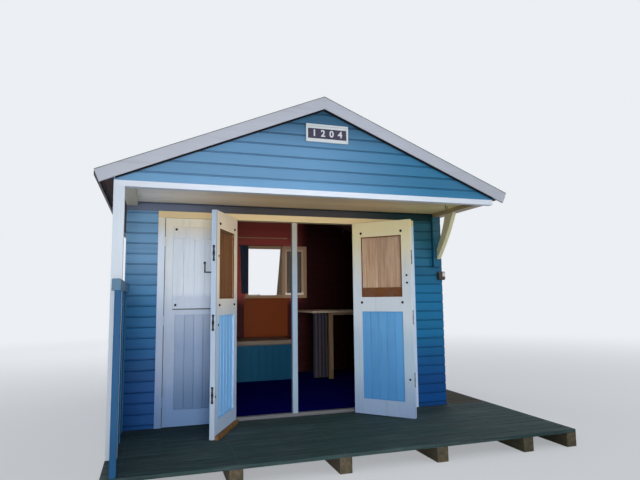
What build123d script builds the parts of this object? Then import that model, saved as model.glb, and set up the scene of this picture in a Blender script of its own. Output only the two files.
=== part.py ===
from build123d import *
import math
import os

# A timber beach hut with a gabled canopy, an open deck and folding doors.
# X runs along the front, Y from the front wall to the back, Z up from the ground.
# The origin is on the ground under the middle of the front wall. Millimetres.

# Ground timbers, deck and floor
bearer_height = 120
bearer_width = 100
bearer_inset = 15
deck_board_thickness = 28
deck_depth = 1350
walkway_width = 497
floor_thickness = 40
joint_gap = 0.3

# Hut body
hut_width = 3406
hut_depth = 3050
wall_thickness = 75

# Roof
wall_over_frame = 231.6
roof_pitch = 22.6
roof_thickness = 22
eaves_overhang = 209
roof_back_overhang = 50
felt_cap_half_width = 150
felt_cap_thickness = 3
eaves_trim_thickness = 20
eaves_trim_depth = 45
barge_width = 107
barge_thickness = 22
ridge_beam_width = 45
ridge_beam_depth = 120
rafter_width = 45
rafter_depth = 70
rafter_ys = (400, 1130, 1860, 2590)

# Canopy over the deck
canopy_depth = 905
canopy_beam_overhang = 60
canopy_beam_depth = 70
canopy_beam_height = 48
beam_over_frame = 46
gable_setback = 2
canopy_side_width = 100
soffit_over_beam = 41
soffit_thickness = 12
post_size = 84

# Door frame and folding leaves
frame_centre = -33
frame_opening = 2620
frame_face = 67
frame_proud = 20
head_face = 64
stop_width = 12
stop_clearance = 2
sill_upstand = 30
mullion_width = 54
leaf_height = 1981
leaf_thickness = 44
leaf_gap = 3
leaf_floor_gap = 5
stile_width = 100
top_rail_height = 155
window_height = 634
mid_rail_height = 149
bottom_rail_height = 152
panel_thickness = 14
groove_depth = 3
panel_boards = 5
glass_thickness = 4
glass_setback = 12
seat_clearance = 0.2
shutter_thickness = 20
shutter_side_margin = 72
shutter_top_margin = 86
shutter_height = 795
left_fold_angle = 115
right_fold_angle = 133
hinge_radius = 5
hinge_length = 90
hinge_heights = (230, 990, 1750)

# Chock that lies on the deck beside the left folded leaf
chock_length = 600
chock_start = 35
chock_width = 32
chock_height = 34

# Back window
window_left = -52
window_right = 958
window_sill = 1193
window_head = 2032
window_bar = 48
window_mullion_x = 568
window_mullion_width = 58
window_frame_depth = 60
sash_thickness = 38
sash_bar = 34
casement_bar = 38
casement_thickness = 32
casement_lap = 12

# Bracket at the right of the canopy
plate_inset = 30
plate_width = 95
plate_thickness = 45
plate_bottom = 1527
strut_thickness = 44
strut_inset = 8
strut_foot = 1618
strut_foot_depth = 120
strut_reach = 400
strut_head_depth = 160
strut_sweep = 20

# Side screen on the left of the deck
screen_board_thickness = 20
screen_inset = 20
screen_rail_width = 60
screen_rail_height = 82
screen_rail_inset = 40
screen_top_above_deck = 1348
screen_post = 45

# Fittings
sign_width = 400
sign_height = 164
sign_thickness = 16
sign_centre = 27
sign_below_ridge = 262
lamp_width = 93
lamp_height = 97
lamp_depth = 45
lamp_overhang = 27
lamp_above_deck = 1381

# Bench and worktop inside
bench_length = 2178
bench_depth = 675
bench_height = 515
bench_board_thickness = 18
bench_seat_thickness = 68
bench_nosing = 20
bench_panel_left = -72
bench_panel_right = 630
bench_panel_thickness = 6
worktop_length = 838
worktop_depth = 875
worktop_above_deck = 1000
worktop_thickness = 30
worktop_lipping_depth = 64
worktop_lipping_thickness = 20
worktop_leg_width = 64
worktop_leg_depth = 45
worktop_leg_inset = 257

# Curtains, as closed solids of their outer shape
curtain_depth = 34
curtain_side_gap = 14
curtain_floor_gap = 25
curtain_width = 140
curtain_drop = 760
curtain_top_width = 22
curtain_foot_width = 92

# Levels and outlines that follow from the sizes above
deck_top = bearer_height + deck_board_thickness
floor_top = bearer_height + floor_thickness
half_width = hut_width / 2
inner_half = half_width - wall_thickness
wall_back = hut_depth - wall_thickness
deck_left = -half_width - canopy_beam_overhang
deck_right = half_width + walkway_width
frame_left = frame_centre - frame_opening / 2
frame_right = frame_centre + frame_opening / 2
frame_outer_left = frame_left - frame_face
frame_outer_right = frame_right + frame_face
leaf_bottom = deck_top + leaf_floor_gap
leaf_width = (frame_opening - 5 * leaf_gap) / 4
head_bottom = leaf_bottom + leaf_height + leaf_gap
frame_top = head_bottom + head_face
stop_front = leaf_thickness - frame_proud + stop_clearance
window_foot = leaf_height - top_rail_height - window_height
lower_panel_height = window_foot - mid_rail_height - bottom_rail_height
slope = math.tan(math.radians(roof_pitch))
pitch_cos = math.cos(math.radians(roof_pitch))
pitch_sin = math.sin(math.radians(roof_pitch))
ridge_top = frame_top + wall_over_frame + slope * half_width + roof_thickness / pitch_cos
roof_half_span = half_width + eaves_overhang
roof_edge = roof_half_span - eaves_trim_thickness
roof_back = hut_depth + roof_back_overhang
beam_half_length = half_width + canopy_beam_overhang
beam_bottom = frame_top + beam_over_frame
beam_top = beam_bottom + canopy_beam_height
beam_back = canopy_beam_depth - canopy_depth
soffit_bottom = beam_bottom + soffit_over_beam
rail_bottom = deck_top + screen_top_above_deck - screen_rail_height

os.makedirs("parts", exist_ok=True)


def roof_top(x):
    """Height of the roof's upper face at a distance x from the ridge line."""
    return ridge_top - slope * abs(x)


def roof_under(x):
    """Height of the roof's lower face at a distance x from the ridge line."""
    return roof_top(x) - roof_thickness / pitch_cos


def add_block(x, y, z, mode=Mode.ADD):
    """Adds one square-cut timber to the open part; each argument is a (from, to) pair."""
    with BuildSketch(Plane.XY.offset(z[0]), mode=Mode.PRIVATE) as section:
        with Locations(((x[0] + x[1]) / 2, (y[0] + y[1]) / 2)):
            Rectangle(x[1] - x[0], y[1] - y[0])
    extrude(section.sketch, amount=z[1] - z[0], mode=mode)


def add_front_profile(points, y, mode=Mode.ADD):
    """Adds a piece drawn from the front as (x, z) points, running back from y[0] to y[1]."""
    with BuildSketch(Plane.XZ.offset(-y[0]), mode=Mode.PRIVATE) as section:
        with BuildLine():
            Polyline(*points, close=True)
        make_face()
    extrude(section.sketch, amount=y[0] - y[1], mode=mode)


def save(piece, label):
    """Names a finished piece and writes it as its own file."""
    piece.part.label = label
    export_step(piece.part, "parts/" + label + ".step")


def slab(label, x, y, z):
    """Writes one plain rectangular piece."""
    with BuildPart() as piece:
        add_block(x, y, z)
    save(piece, label)


# Ground timbers, floor and decks
outer_bearer = half_width - bearer_inset
with BuildPart() as bearers:
    for bearer_x in (-outer_bearer, -outer_bearer / 2, 0, outer_bearer / 2, outer_bearer,
                     deck_right - bearer_width / 2):
        add_block((bearer_x - bearer_width / 2, bearer_x + bearer_width / 2),
                  (-deck_depth, hut_depth), (0, bearer_height))
save(bearers, "bearers")

slab("floor", (-inner_half, inner_half), (wall_thickness, wall_back), (bearer_height, floor_top))
slab("front_deck", (deck_left, deck_right), (-deck_depth, -joint_gap), (bearer_height, deck_top))
slab("side_walkway", (half_width + joint_gap, deck_right), (0, hut_depth), (bearer_height, deck_top))

# Walls
slab("front_wall_left", (-half_width, frame_outer_left), (0, wall_thickness),
     (bearer_height, frame_top))
slab("front_wall_right", (frame_outer_right, half_width), (0, wall_thickness),
     (bearer_height, frame_top))

with BuildPart() as front_wall_gable:
    add_front_profile([(-half_width, frame_top), (half_width, frame_top),
                       (half_width, roof_under(half_width)), (0, roof_under(0)),
                       (-half_width, roof_under(half_width))], (0, wall_thickness))
save(front_wall_gable, "front_wall_gable")

for label, side in (("left_wall", -1), ("right_wall", 1)):
    with BuildPart() as side_wall:
        add_front_profile([(side * inner_half, bearer_height), (side * half_width, bearer_height),
                           (side * half_width, roof_under(half_width)),
                           (side * inner_half, roof_under(inner_half))],
                          (wall_thickness, wall_back))
    save(side_wall, label)

with BuildPart() as back_wall:
    add_front_profile([(-half_width, bearer_height), (half_width, bearer_height),
                       (half_width, roof_under(half_width)), (0, roof_under(0)),
                       (-half_width, roof_under(half_width))], (wall_back, hut_depth))
    add_block((window_left, window_right), (wall_back, hut_depth),
              (deck_top + window_sill, deck_top + window_head), mode=Mode.SUBTRACT)
save(back_wall, "back_wall")

# Roof: two slopes, ridge cap, edge trims and the boards along the gables
for label, side in (("roof_left", -1), ("roof_right", 1)):
    with BuildPart() as roof_slope:
        add_front_profile([(0, roof_under(0)), (side * roof_edge, roof_under(roof_edge)),
                           (side * roof_edge, roof_top(roof_edge)), (0, roof_top(0))],
                          (-canopy_depth, roof_back))
    save(roof_slope, label)

with BuildPart() as ridge_cap:
    cap_rise = felt_cap_thickness / pitch_cos
    add_front_profile([(-felt_cap_half_width, roof_top(felt_cap_half_width)), (0, roof_top(0)),
                       (felt_cap_half_width, roof_top(felt_cap_half_width)),
                       (felt_cap_half_width, roof_top(felt_cap_half_width) + cap_rise),
                       (0, roof_top(0) + cap_rise),
                       (-felt_cap_half_width, roof_top(felt_cap_half_width) + cap_rise)],
                      (-canopy_depth, roof_back))
save(ridge_cap, "ridge_cap")

with BuildPart() as eaves_trims:
    for side in (-1, 1):
        add_front_profile([(side * roof_edge, roof_top(roof_edge)),
                           (side * roof_half_span, roof_top(roof_half_span)),
                           (side * roof_half_span, roof_top(roof_half_span) - eaves_trim_depth),
                           (side * roof_edge, roof_top(roof_half_span) - eaves_trim_depth)],
                          (-canopy_depth, roof_back))
save(eaves_trims, "eaves_trims")

barge_ends = (("front", -canopy_depth - barge_thickness, -canopy_depth),
              ("back", roof_back, roof_back + barge_thickness))
for end, y_from, y_to in barge_ends:
    for label, side in (("left", -1), ("right", 1)):
        with BuildPart() as barge:
            mitre_x = side * joint_gap / 2
            lower_x = side * (roof_half_span - barge_width * pitch_sin)
            lower_z = roof_top(roof_half_span) - barge_width * pitch_cos
            add_front_profile([(mitre_x, roof_top(0)), (side * roof_half_span, roof_top(roof_half_span)),
                               (lower_x, lower_z), (mitre_x, roof_top(0) - barge_width / pitch_cos)],
                              (y_from, y_to))
        save(barge, end + "_barge_" + label)

with BuildPart() as ridge_beam:
    half_beam = ridge_beam_width / 2
    add_front_profile([(-half_beam, roof_under(0) - ridge_beam_depth),
                       (half_beam, roof_under(0) - ridge_beam_depth),
                       (half_beam, roof_under(half_beam)), (0, roof_under(0)),
                       (-half_beam, roof_under(half_beam))], (wall_thickness, wall_back))
save(ridge_beam, "ridge_beam")

with BuildPart() as rafters:
    rafter_drop = rafter_depth / pitch_cos
    for side in (-1, 1):
        for rafter_y in rafter_ys:
            add_front_profile([(side * half_beam, roof_under(half_beam)),
                               (side * inner_half, roof_under(inner_half)),
                               (side * inner_half, roof_under(inner_half) - rafter_drop),
                               (side * half_beam, roof_under(half_beam) - rafter_drop)],
                              (rafter_y - rafter_width / 2, rafter_y + rafter_width / 2))
save(rafters, "rafters")

# Canopy
slab("canopy_beam", (-beam_half_length, beam_half_length),
     (-canopy_depth, beam_back), (beam_bottom, beam_top))

with BuildPart() as canopy_gable:
    add_front_profile([(-beam_half_length, beam_top), (beam_half_length, beam_top),
                       (beam_half_length, roof_under(beam_half_length)),
                       (0, roof_under(0)),
                       (-beam_half_length, roof_under(beam_half_length))],
                      (-canopy_depth + gable_setback, beam_back))
save(canopy_gable, "canopy_gable")

side_inner = half_width - canopy_side_width
with BuildPart() as canopy_sides:
    for side in (-1, 1):
        add_front_profile([(side * side_inner, beam_bottom), (side * half_width, beam_bottom),
                           (side * half_width, roof_under(half_width)),
                           (side * side_inner, roof_under(side_inner))], (beam_back, 0))
save(canopy_sides, "canopy_sides")

slab("soffit", (-side_inner, side_inner), (beam_back, 0),
     (soffit_bottom, soffit_bottom + soffit_thickness))
slab("canopy_post", (-beam_half_length, -beam_half_length + post_size),
     (-canopy_depth, -canopy_depth + post_size), (deck_top, beam_bottom))

# Bracket: a plate on the front wall and a strut that widens towards the canopy
plate_right = half_width - plate_inset
plate_left = plate_right - plate_width
slab("bracket_plate", (plate_left, plate_right), (-plate_thickness, 0),
     (deck_top + plate_bottom, beam_bottom))

with BuildPart() as bracket_strut:
    foot_z = deck_top + strut_foot
    head_y = -strut_reach
    with BuildSketch(Plane.YZ.offset(plate_right - strut_inset - strut_thickness)):
        with BuildLine():
            foot_low = (-plate_thickness, foot_z)
            foot_high = (-plate_thickness, foot_z + strut_foot_depth)
            head_front = (head_y, beam_bottom)
            head_back = (head_y + strut_head_depth, beam_bottom)
            SagittaArc(foot_low, head_front, strut_sweep)
            Line(head_front, head_back)
            SagittaArc(head_back, foot_high, -strut_sweep)
            Line(foot_high, foot_low)
        make_face()
    extrude(amount=strut_thickness)
save(bracket_strut, "bracket_strut")

# Door frame: rebated jambs and head, a sill with an upstand, and a centre post behind the leaves
with BuildPart() as door_jambs:
    for outer_x, inner_x, side in ((frame_outer_left, frame_left, 1), (frame_outer_right, frame_right, -1)):
        stop_x = inner_x + side * stop_width
        with BuildSketch(Plane.XY.offset(deck_top)):
            with BuildLine():
                Polyline((outer_x, -frame_proud), (inner_x, -frame_proud), (inner_x, stop_front),
                         (stop_x, stop_front), (stop_x, wall_thickness),
                         (outer_x, wall_thickness), close=True)
            make_face()
        extrude(amount=head_bottom - deck_top)
save(door_jambs, "door_jambs")

with BuildPart() as door_head:
    with BuildSketch(Plane.YZ.offset(frame_outer_left)):
        with BuildLine():
            Polyline((-frame_proud, frame_top), (-frame_proud, head_bottom), (wall_thickness, head_bottom),
                     (wall_thickness, frame_top), close=True)
        make_face()
    extrude(amount=frame_outer_right - frame_outer_left)
save(door_head, "door_head")

with BuildPart() as door_sill:
    add_block((frame_outer_left, frame_outer_right), (0, wall_thickness), (bearer_height, deck_top))
    add_block((frame_left + stop_width, frame_right - stop_width), (stop_front, wall_thickness),
              (deck_top, deck_top + sill_upstand))
save(door_sill, "door_sill")

slab("door_mullion", (frame_centre - mullion_width / 2, frame_centre + mullion_width / 2),
     (stop_front, wall_thickness), (deck_top + sill_upstand, head_bottom))

# Folding leaves. A leaf plane has its origin at the hinge edge of the leaf's outer face, X along
# the leaf and Z up; side is 1 for the left pair and -1 for the right, and gives the way inwards.
left_hinge = frame_left + leaf_gap / 2
right_hinge = frame_right - leaf_gap / 2
fold_step = leaf_width + leaf_gap


def leaf_plane(hinge_x, side, angle):
    """Plane of a leaf that is turned outwards by an angle in degrees from shut."""
    turn = math.radians(angle)
    along = (side * math.cos(turn), -math.sin(turn), 0)
    return Plane(origin=(hinge_x, -frame_proud, leaf_bottom), x_dir=along, z_dir=(0, 0, 1))


leaves = (("door_leaf_outer_left", left_hinge, 1, 0),
          ("door_leaf_inner_left", left_hinge + fold_step, 1, left_fold_angle),
          ("door_leaf_inner_right", right_hinge - fold_step, -1, right_fold_angle),
          ("door_leaf_outer_right", right_hinge, -1, 0))


def leaf_block(plane, side, along, through, up, mode=Mode.ADD):
    """Adds a block in a leaf's own plane: pairs along it, through its thickness and up."""
    with BuildSketch(plane.offset(up[0]), mode=Mode.PRIVATE) as section:
        with Locations(((along[0] + along[1]) / 2, side * (through[0] + through[1]) / 2)):
            Rectangle(along[1] - along[0], through[1] - through[0])
    extrude(section.sketch, amount=up[1] - up[0], mode=mode)


edge = leaf_gap / 2
opening_along = (edge + stile_width, edge + leaf_width - stile_width)
panel_along = (opening_along[0] + seat_clearance, opening_along[1] - seat_clearance)
panel_up = (bottom_rail_height + seat_clearance,
            bottom_rail_height + lower_panel_height - seat_clearance)
glass_up = (window_foot + seat_clearance, window_foot + window_height - seat_clearance)
panel_through = ((leaf_thickness - panel_thickness) / 2, (leaf_thickness + panel_thickness) / 2)
glass_back = leaf_thickness - glass_setback
shutter_top = leaf_height - shutter_top_margin

for label, hinge_x, side, angle in leaves:
    plane = leaf_plane(hinge_x, side, angle)
    with BuildPart() as leaf:
        leaf_block(plane, side, (edge, edge + leaf_width), (0, leaf_thickness), (0, leaf_height))
        leaf_block(plane, side, opening_along, (0, leaf_thickness),
                   (bottom_rail_height, bottom_rail_height + lower_panel_height), mode=Mode.SUBTRACT)
        leaf_block(plane, side, opening_along, (0, leaf_thickness),
                   (window_foot, window_foot + window_height), mode=Mode.SUBTRACT)
    save(leaf, label)

with BuildPart() as door_panels:
    board_pitch = (panel_along[1] - panel_along[0]) / panel_boards
    for label, hinge_x, side, angle in leaves:
        plane = leaf_plane(hinge_x, side, angle)
        leaf_block(plane, side, panel_along, panel_through, panel_up)
        for board in range(1, panel_boards):
            groove = panel_along[0] + board * board_pitch
            for face in panel_through:
                with BuildSketch(plane.offset(panel_up[0]), mode=Mode.PRIVATE) as vee:
                    with Locations((groove, side * face)):
                        Rectangle(groove_depth * math.sqrt(2), groove_depth * math.sqrt(2), rotation=45)
                extrude(vee.sketch, amount=panel_up[1] - panel_up[0], mode=Mode.SUBTRACT)
save(door_panels, "door_panels")

with BuildPart() as door_glass:
    for label, hinge_x, side, angle in leaves:
        leaf_block(leaf_plane(hinge_x, side, angle), side, panel_along,
                   (glass_back - glass_thickness, glass_back), glass_up)
save(door_glass, "door_glass")

with BuildPart() as door_shutters:
    for label, hinge_x, side, angle in leaves:
        leaf_block(leaf_plane(hinge_x, side, angle), side,
                   (edge + shutter_side_margin, edge + leaf_width - shutter_side_margin),
                   (-shutter_thickness, 0), (shutter_top - shutter_height, shutter_top))
save(door_shutters, "door_shutters")

# Hinge knuckles lie in the angle between the faces that they join
with BuildPart() as door_hinges:
    for label, hinge_x, side, angle in leaves:
        half_angle = math.radians((180 - angle) / 2)
        reach = hinge_radius / math.sin(half_angle)
        knuckle = (hinge_x - side * reach * math.cos(half_angle),
                   -frame_proud - reach * math.sin(half_angle))
        for hinge_height in hinge_heights:
            with BuildSketch(Plane.XY.offset(leaf_bottom + hinge_height - hinge_length / 2)):
                with Locations(knuckle):
                    Circle(hinge_radius)
            extrude(amount=hinge_length)
save(door_hinges, "door_hinges")

with BuildPart() as door_chock:
    chock_plane = leaf_plane(left_hinge + fold_step, 1, left_fold_angle)
    chock_back = leaf_thickness + joint_gap
    leaf_block(chock_plane, 1, (chock_start, chock_start + chock_length),
               (chock_back, chock_back + chock_width),
               (-leaf_floor_gap, chock_height - leaf_floor_gap))
save(door_chock, "door_chock")

# Back window: a glazed sash on the right and, on the left, a side-hung casement that stands open square
window_bottom = deck_top + window_sill
window_top = deck_top + window_head
light_left = (window_left + window_bar, window_mullion_x - window_mullion_width / 2)
light_right = (window_mullion_x + window_mullion_width / 2, window_right - window_bar)
light_up = (window_bottom + window_bar, window_top - window_bar)
window_y = (wall_back, wall_back + window_frame_depth)

with BuildPart() as window_frame:
    add_block((window_left, window_right), window_y, (window_bottom, window_top))
    for light in (light_left, light_right):
        add_block(light, window_y, light_up, mode=Mode.SUBTRACT)
save(window_frame, "window_frame")

sash_y = (window_y[1] - sash_thickness, window_y[1])
sash_x = (light_right[0] + seat_clearance, light_right[1] - seat_clearance)
sash_up = (light_up[0] + seat_clearance, light_up[1] - seat_clearance)
pane_x = (sash_x[0] + sash_bar, sash_x[1] - sash_bar)
pane_up = (sash_up[0] + sash_bar, sash_up[1] - sash_bar)
with BuildPart() as window_sash:
    add_block(sash_x, sash_y, sash_up)
    add_block(pane_x, sash_y, pane_up, mode=Mode.SUBTRACT)
save(window_sash, "window_sash")

pane_y = (sash_y[0] + sash_y[1] - glass_thickness) / 2
slab("window_pane", (pane_x[0] + seat_clearance, pane_x[1] - seat_clearance),
     (pane_y, pane_y + glass_thickness), (pane_up[0] + seat_clearance, pane_up[1] - seat_clearance))

casement_width = light_left[1] - light_left[0] + 2 * casement_lap
casement_x = (light_left[0] - casement_lap - casement_thickness, light_left[0] - casement_lap)
casement_y = (window_y[1] + joint_gap, window_y[1] + joint_gap + casement_width)
casement_up = (light_up[0] - casement_lap, light_up[1] + casement_lap)
casement_glass_y = (casement_y[0] + casement_bar, casement_y[1] - casement_bar)
casement_glass_up = (casement_up[0] + casement_bar, casement_up[1] - casement_bar)
with BuildPart() as window_casement:
    add_block(casement_x, casement_y, casement_up)
    add_block(casement_x, casement_glass_y, casement_glass_up, mode=Mode.SUBTRACT)
save(window_casement, "window_casement")

casement_pane_x = (casement_x[0] + casement_x[1] - glass_thickness) / 2
slab("casement_pane", (casement_pane_x, casement_pane_x + glass_thickness),
     (casement_glass_y[0] + seat_clearance, casement_glass_y[1] - seat_clearance),
     (casement_glass_up[0] + seat_clearance, casement_glass_up[1] - seat_clearance))

# Side screen on the left of the deck: two boarded bays, rails and an end post
screen_inner_x = screen_inset - half_width
screen_board_x = (screen_inner_x - screen_board_thickness, screen_inner_x)
rail_inner_x = screen_rail_inset - half_width
post_back = -canopy_depth + post_size
end_post_y = (-deck_depth, -deck_depth + screen_post)
slab("screen_back", screen_board_x, (post_back, -joint_gap), (deck_top, rail_bottom))
slab("screen_front", screen_board_x, (end_post_y[1], -canopy_depth), (deck_top, rail_bottom))
slab("screen_end_post", (screen_board_x[0], screen_board_x[0] + screen_post), end_post_y,
     (deck_top, rail_bottom))
with BuildPart() as screen_rails:
    for rail_y in ((-deck_depth, -canopy_depth), (post_back, -joint_gap)):
        add_block((rail_inner_x - screen_rail_width, rail_inner_x), rail_y,
                  (rail_bottom, rail_bottom + screen_rail_height))
save(screen_rails, "screen_rails")

# Fittings
gable_face = -canopy_depth + gable_setback
sign_top = ridge_top - sign_below_ridge
slab("sign_board", (sign_centre - sign_width / 2, sign_centre + sign_width / 2),
     (gable_face - sign_thickness, gable_face),
     (sign_top - sign_height, sign_top))
lamp_right = half_width + lamp_overhang
slab("corner_lamp", (lamp_right - lamp_width, lamp_right), (-lamp_depth, 0),
     (deck_top + lamp_above_deck, deck_top + lamp_above_deck + lamp_height))

# Bench and worktop
bench_front_y = wall_back - bench_depth
bench_top = deck_top + bench_height
bench_right = bench_length - inner_half
slab("bench_front", (-inner_half, bench_right), (bench_front_y, bench_front_y + bench_board_thickness),
     (floor_top, bench_top))
slab("bench_end", (bench_right - bench_board_thickness, bench_right),
     (bench_front_y + bench_board_thickness, wall_back), (floor_top, bench_top))
slab("bench_seat", (-inner_half, bench_right + bench_nosing),
     (bench_front_y - bench_nosing, wall_back), (bench_top, bench_top + bench_seat_thickness))
seat_top = bench_top + bench_seat_thickness
slab("bench_back_panel", (bench_panel_left, bench_panel_right),
     (wall_back - bench_panel_thickness, wall_back), (seat_top + joint_gap, window_bottom))

worktop_top = deck_top + worktop_above_deck
worktop_bottom = worktop_top - worktop_thickness
worktop_front = wall_back - worktop_depth
worktop_left = inner_half - worktop_length
lipping_back = worktop_front + worktop_lipping_thickness
leg_left = worktop_left + worktop_leg_inset
with BuildPart() as worktop:
    add_block((worktop_left, inner_half), (worktop_front, wall_back), (worktop_bottom, worktop_top))
    add_block((leg_left, inner_half), (worktop_front, lipping_back),
              (worktop_top - worktop_lipping_depth, worktop_bottom))
save(worktop, "worktop")
slab("worktop_leg", (leg_left, leg_left + worktop_leg_width),
     (lipping_back, lipping_back + worktop_leg_depth), (floor_top, worktop_bottom))

# A curtain under the worktop, left of its leg, and two beside the back window's left light
slab("worktop_curtain", (worktop_left + curtain_side_gap, leg_left - curtain_side_gap),
     (lipping_back + joint_gap, lipping_back + joint_gap + curtain_depth),
     (floor_top + curtain_floor_gap, worktop_bottom - joint_gap))

curtain_y = (wall_back - joint_gap - curtain_depth, wall_back - joint_gap)
left_curtain_right = light_left[0]
right_curtain_right = light_left[1]
with BuildPart() as window_curtains:
    add_block((left_curtain_right - curtain_width, left_curtain_right), curtain_y,
              (window_top - curtain_drop, window_top))
    add_front_profile([(right_curtain_right - curtain_foot_width, window_bottom + window_bar),
                       (right_curtain_right, window_bottom + window_bar),
                       (right_curtain_right, window_top),
                       (right_curtain_right - curtain_top_width, window_top)], curtain_y)
save(window_curtains, "window_curtains")
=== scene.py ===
import math

import bmesh
import bpy
from mathutils import Matrix, Vector


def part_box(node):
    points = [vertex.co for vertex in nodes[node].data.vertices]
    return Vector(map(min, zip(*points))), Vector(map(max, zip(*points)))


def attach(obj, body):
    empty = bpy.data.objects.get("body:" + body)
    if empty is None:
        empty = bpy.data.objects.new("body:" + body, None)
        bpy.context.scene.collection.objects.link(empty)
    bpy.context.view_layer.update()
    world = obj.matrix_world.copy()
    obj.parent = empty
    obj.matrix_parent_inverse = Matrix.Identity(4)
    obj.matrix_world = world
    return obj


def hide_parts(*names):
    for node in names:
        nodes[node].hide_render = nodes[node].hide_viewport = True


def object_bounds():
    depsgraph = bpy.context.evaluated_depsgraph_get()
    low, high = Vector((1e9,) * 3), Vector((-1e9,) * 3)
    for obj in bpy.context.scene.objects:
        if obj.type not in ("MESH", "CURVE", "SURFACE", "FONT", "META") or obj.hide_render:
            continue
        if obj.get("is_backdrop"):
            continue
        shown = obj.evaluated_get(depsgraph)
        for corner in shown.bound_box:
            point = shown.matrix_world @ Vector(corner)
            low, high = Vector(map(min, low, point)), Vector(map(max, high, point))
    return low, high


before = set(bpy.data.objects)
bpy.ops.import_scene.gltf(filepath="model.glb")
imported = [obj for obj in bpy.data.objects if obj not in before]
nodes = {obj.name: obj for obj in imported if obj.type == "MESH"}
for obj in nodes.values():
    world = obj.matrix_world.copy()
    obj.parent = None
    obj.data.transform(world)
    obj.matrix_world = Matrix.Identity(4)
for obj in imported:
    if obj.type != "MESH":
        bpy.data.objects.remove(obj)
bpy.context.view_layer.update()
print("frame loaded:", len(nodes), "nodes")


class Wire:
    def __init__(self, graph, socket):
        self.graph, self.socket = graph, socket

    def maths(self, operation, *values):
        return self.graph.node("Math", dict(enumerate(values)), operation=operation)

    def __add__(self, other):
        return self.maths("ADD", self, other)

    def __sub__(self, other):
        return self.maths("SUBTRACT", self, other)

    def __rsub__(self, other):
        return self.maths("SUBTRACT", other, self)

    def __mul__(self, other):
        return self.maths("MULTIPLY", self, other)

    __radd__, __rmul__ = __add__, __mul__

    def least(self, other):
        return self.maths("MINIMUM", self, other)

    def most(self, other):
        return self.maths("MAXIMUM", self, other)

    def sine(self):
        return self.maths("SINE", self)

    def fraction(self):
        return self.maths("FRACT", self)


class Graph:
    def __init__(self, tree):
        self.tree = tree
        tree.nodes.clear()

    def node(self, kind, sockets=None, out=0, **settings):      # shader kinds go by their short names
        made = self.tree.nodes.new(kind if "Node" in kind else "ShaderNode" + kind)
        for key, value in settings.items():
            setattr(made, key, value)
        for key, value in (sockets or {}).items():
            if isinstance(value, Wire):
                self.tree.links.new(value.socket, made.inputs[key])
            else:
                made.inputs[key].default_value = value
        return Wire(self, made.outputs[out]) if made.outputs else None

    def mix(self, share, first, second):          # colours, by a share from 0 to 1
        first, second = [c if isinstance(c, Wire) else (*c, 1) for c in (first, second)]
        return self.node("Mix", {0: share, 6: first, 7: second}, 2, data_type="RGBA")

    def dim(self, colour, factor):                # a colour times a number
        return self.node("VectorMath", {0: colour, 3: factor}, operation="SCALE")

    def ease(self, value, low, high):             # 0 below low, 1 above high, smooth between
        return self.node("MapRange", {"Value": value, "From Min": low, "From Max": high},
                         interpolation_type="SMOOTHSTEP")

    def noise(self, place, scale, detail, roughness):
        return self.node("TexNoise", {"Vector": place, "Scale": scale, "Detail": detail,
                                      "Roughness": roughness})

    def stretched(self, place, scale):
        return self.node("Mapping", {"Vector": place, "Scale": scale})

    def bump(self, strength, distance, height):
        return self.node("Bump", {"Strength": strength, "Distance": distance, "Height": height})

    def along(self, place, axis):
        return self.node("SeparateXYZ", {0: place}, axis)


def srgb(*levels):                                # a colour as read off a screen, 0 to 255
    return tuple(((c / 255 + 0.055) / 1.055) ** 2.4 if c > 10 else c / 255 / 12.92 for c in levels)


def opened(name):
    made = bpy.data.materials.new(name)
    made.use_nodes = True
    g = Graph(made.node_tree)
    return made, g, g.node("TexCoord", out="Object")


def closed(made, g, **sockets):
    shader = g.node("BsdfPrincipled", {key.replace("_", " "): value for key, value in sockets.items()})
    g.node("OutputMaterial", {"Surface": shader})
    return made


grainStretch = {"x": (0.06, 1, 1), "y": (1, 0.06, 1), "z": (1, 1, 0.06)}


def painted(name, colour, *blends, lapShade=None, grain="x", tone=0.0, knots=0.0, grime=0.12, dirt=(70, 66, 58),
            shine=0.35):
    # a blend is (axis, low, high, colour) and comes in between two places; the lap shade is (base, pitch,
    # depth) of painted shade along each board's lap
    made, g, place = opened(name)
    lengthways = g.stretched(place, grainStretch[grain])
    fibre = g.noise(lengthways, 90, 5, 0.62)
    brush = g.noise(lengthways, 320, 2, 0.5)
    blotch = g.noise(place, 1.7, 4, 0.6)
    board = g.node("Attribute", out="Fac", attribute_name="boardTone")
    body = srgb(*colour)
    for axis, low, high, *other in blends:
        wander = (blotch - 0.5) * (0.18 * abs(high - low))
        body = g.mix(g.ease(g.along(place, axis.upper()) + wander, low, high), body, srgb(*other))
    body = g.dim(body, 1.0 + (board - 0.5) * tone + (fibre - 0.5) * 0.16 + (blotch - 0.5) * 0.20)
    dirty = g.ease(g.noise(lengthways, 14, 5, 0.7), 0.52, 0.78) * grime
    body = g.mix(dirty, body, srgb(*dirt))
    if lapShade:                                      # painted shade along the lap of each board
        base, pitch, depth = lapShade
        lap = g.ease(((g.along(place, "Z") - base) * (1 / pitch)).fraction(), 0.83, 0.90)
        body = g.dim(body, 1.0 - lap * depth)
    if knots:
        cells = g.node("TexVoronoi", {"Vector": lengthways, "Scale": 5.0}, feature="F1")
        ring = 1 - g.ease(cells + (fibre - 0.5) * 0.05, 0.02, 0.075)
        body = g.mix(ring * knots, body, srgb(62, 60, 44))
    height = fibre * 0.6 + brush * 0.25 + blotch * 0.15
    closed(made, g, Base_Color=body, Roughness=(fibre - 0.5) * 0.25 + dirty * 0.5 + 0.48,
           Normal=g.bump(0.35, 0.0015, height), Specular_IOR_Level=shine)


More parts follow.
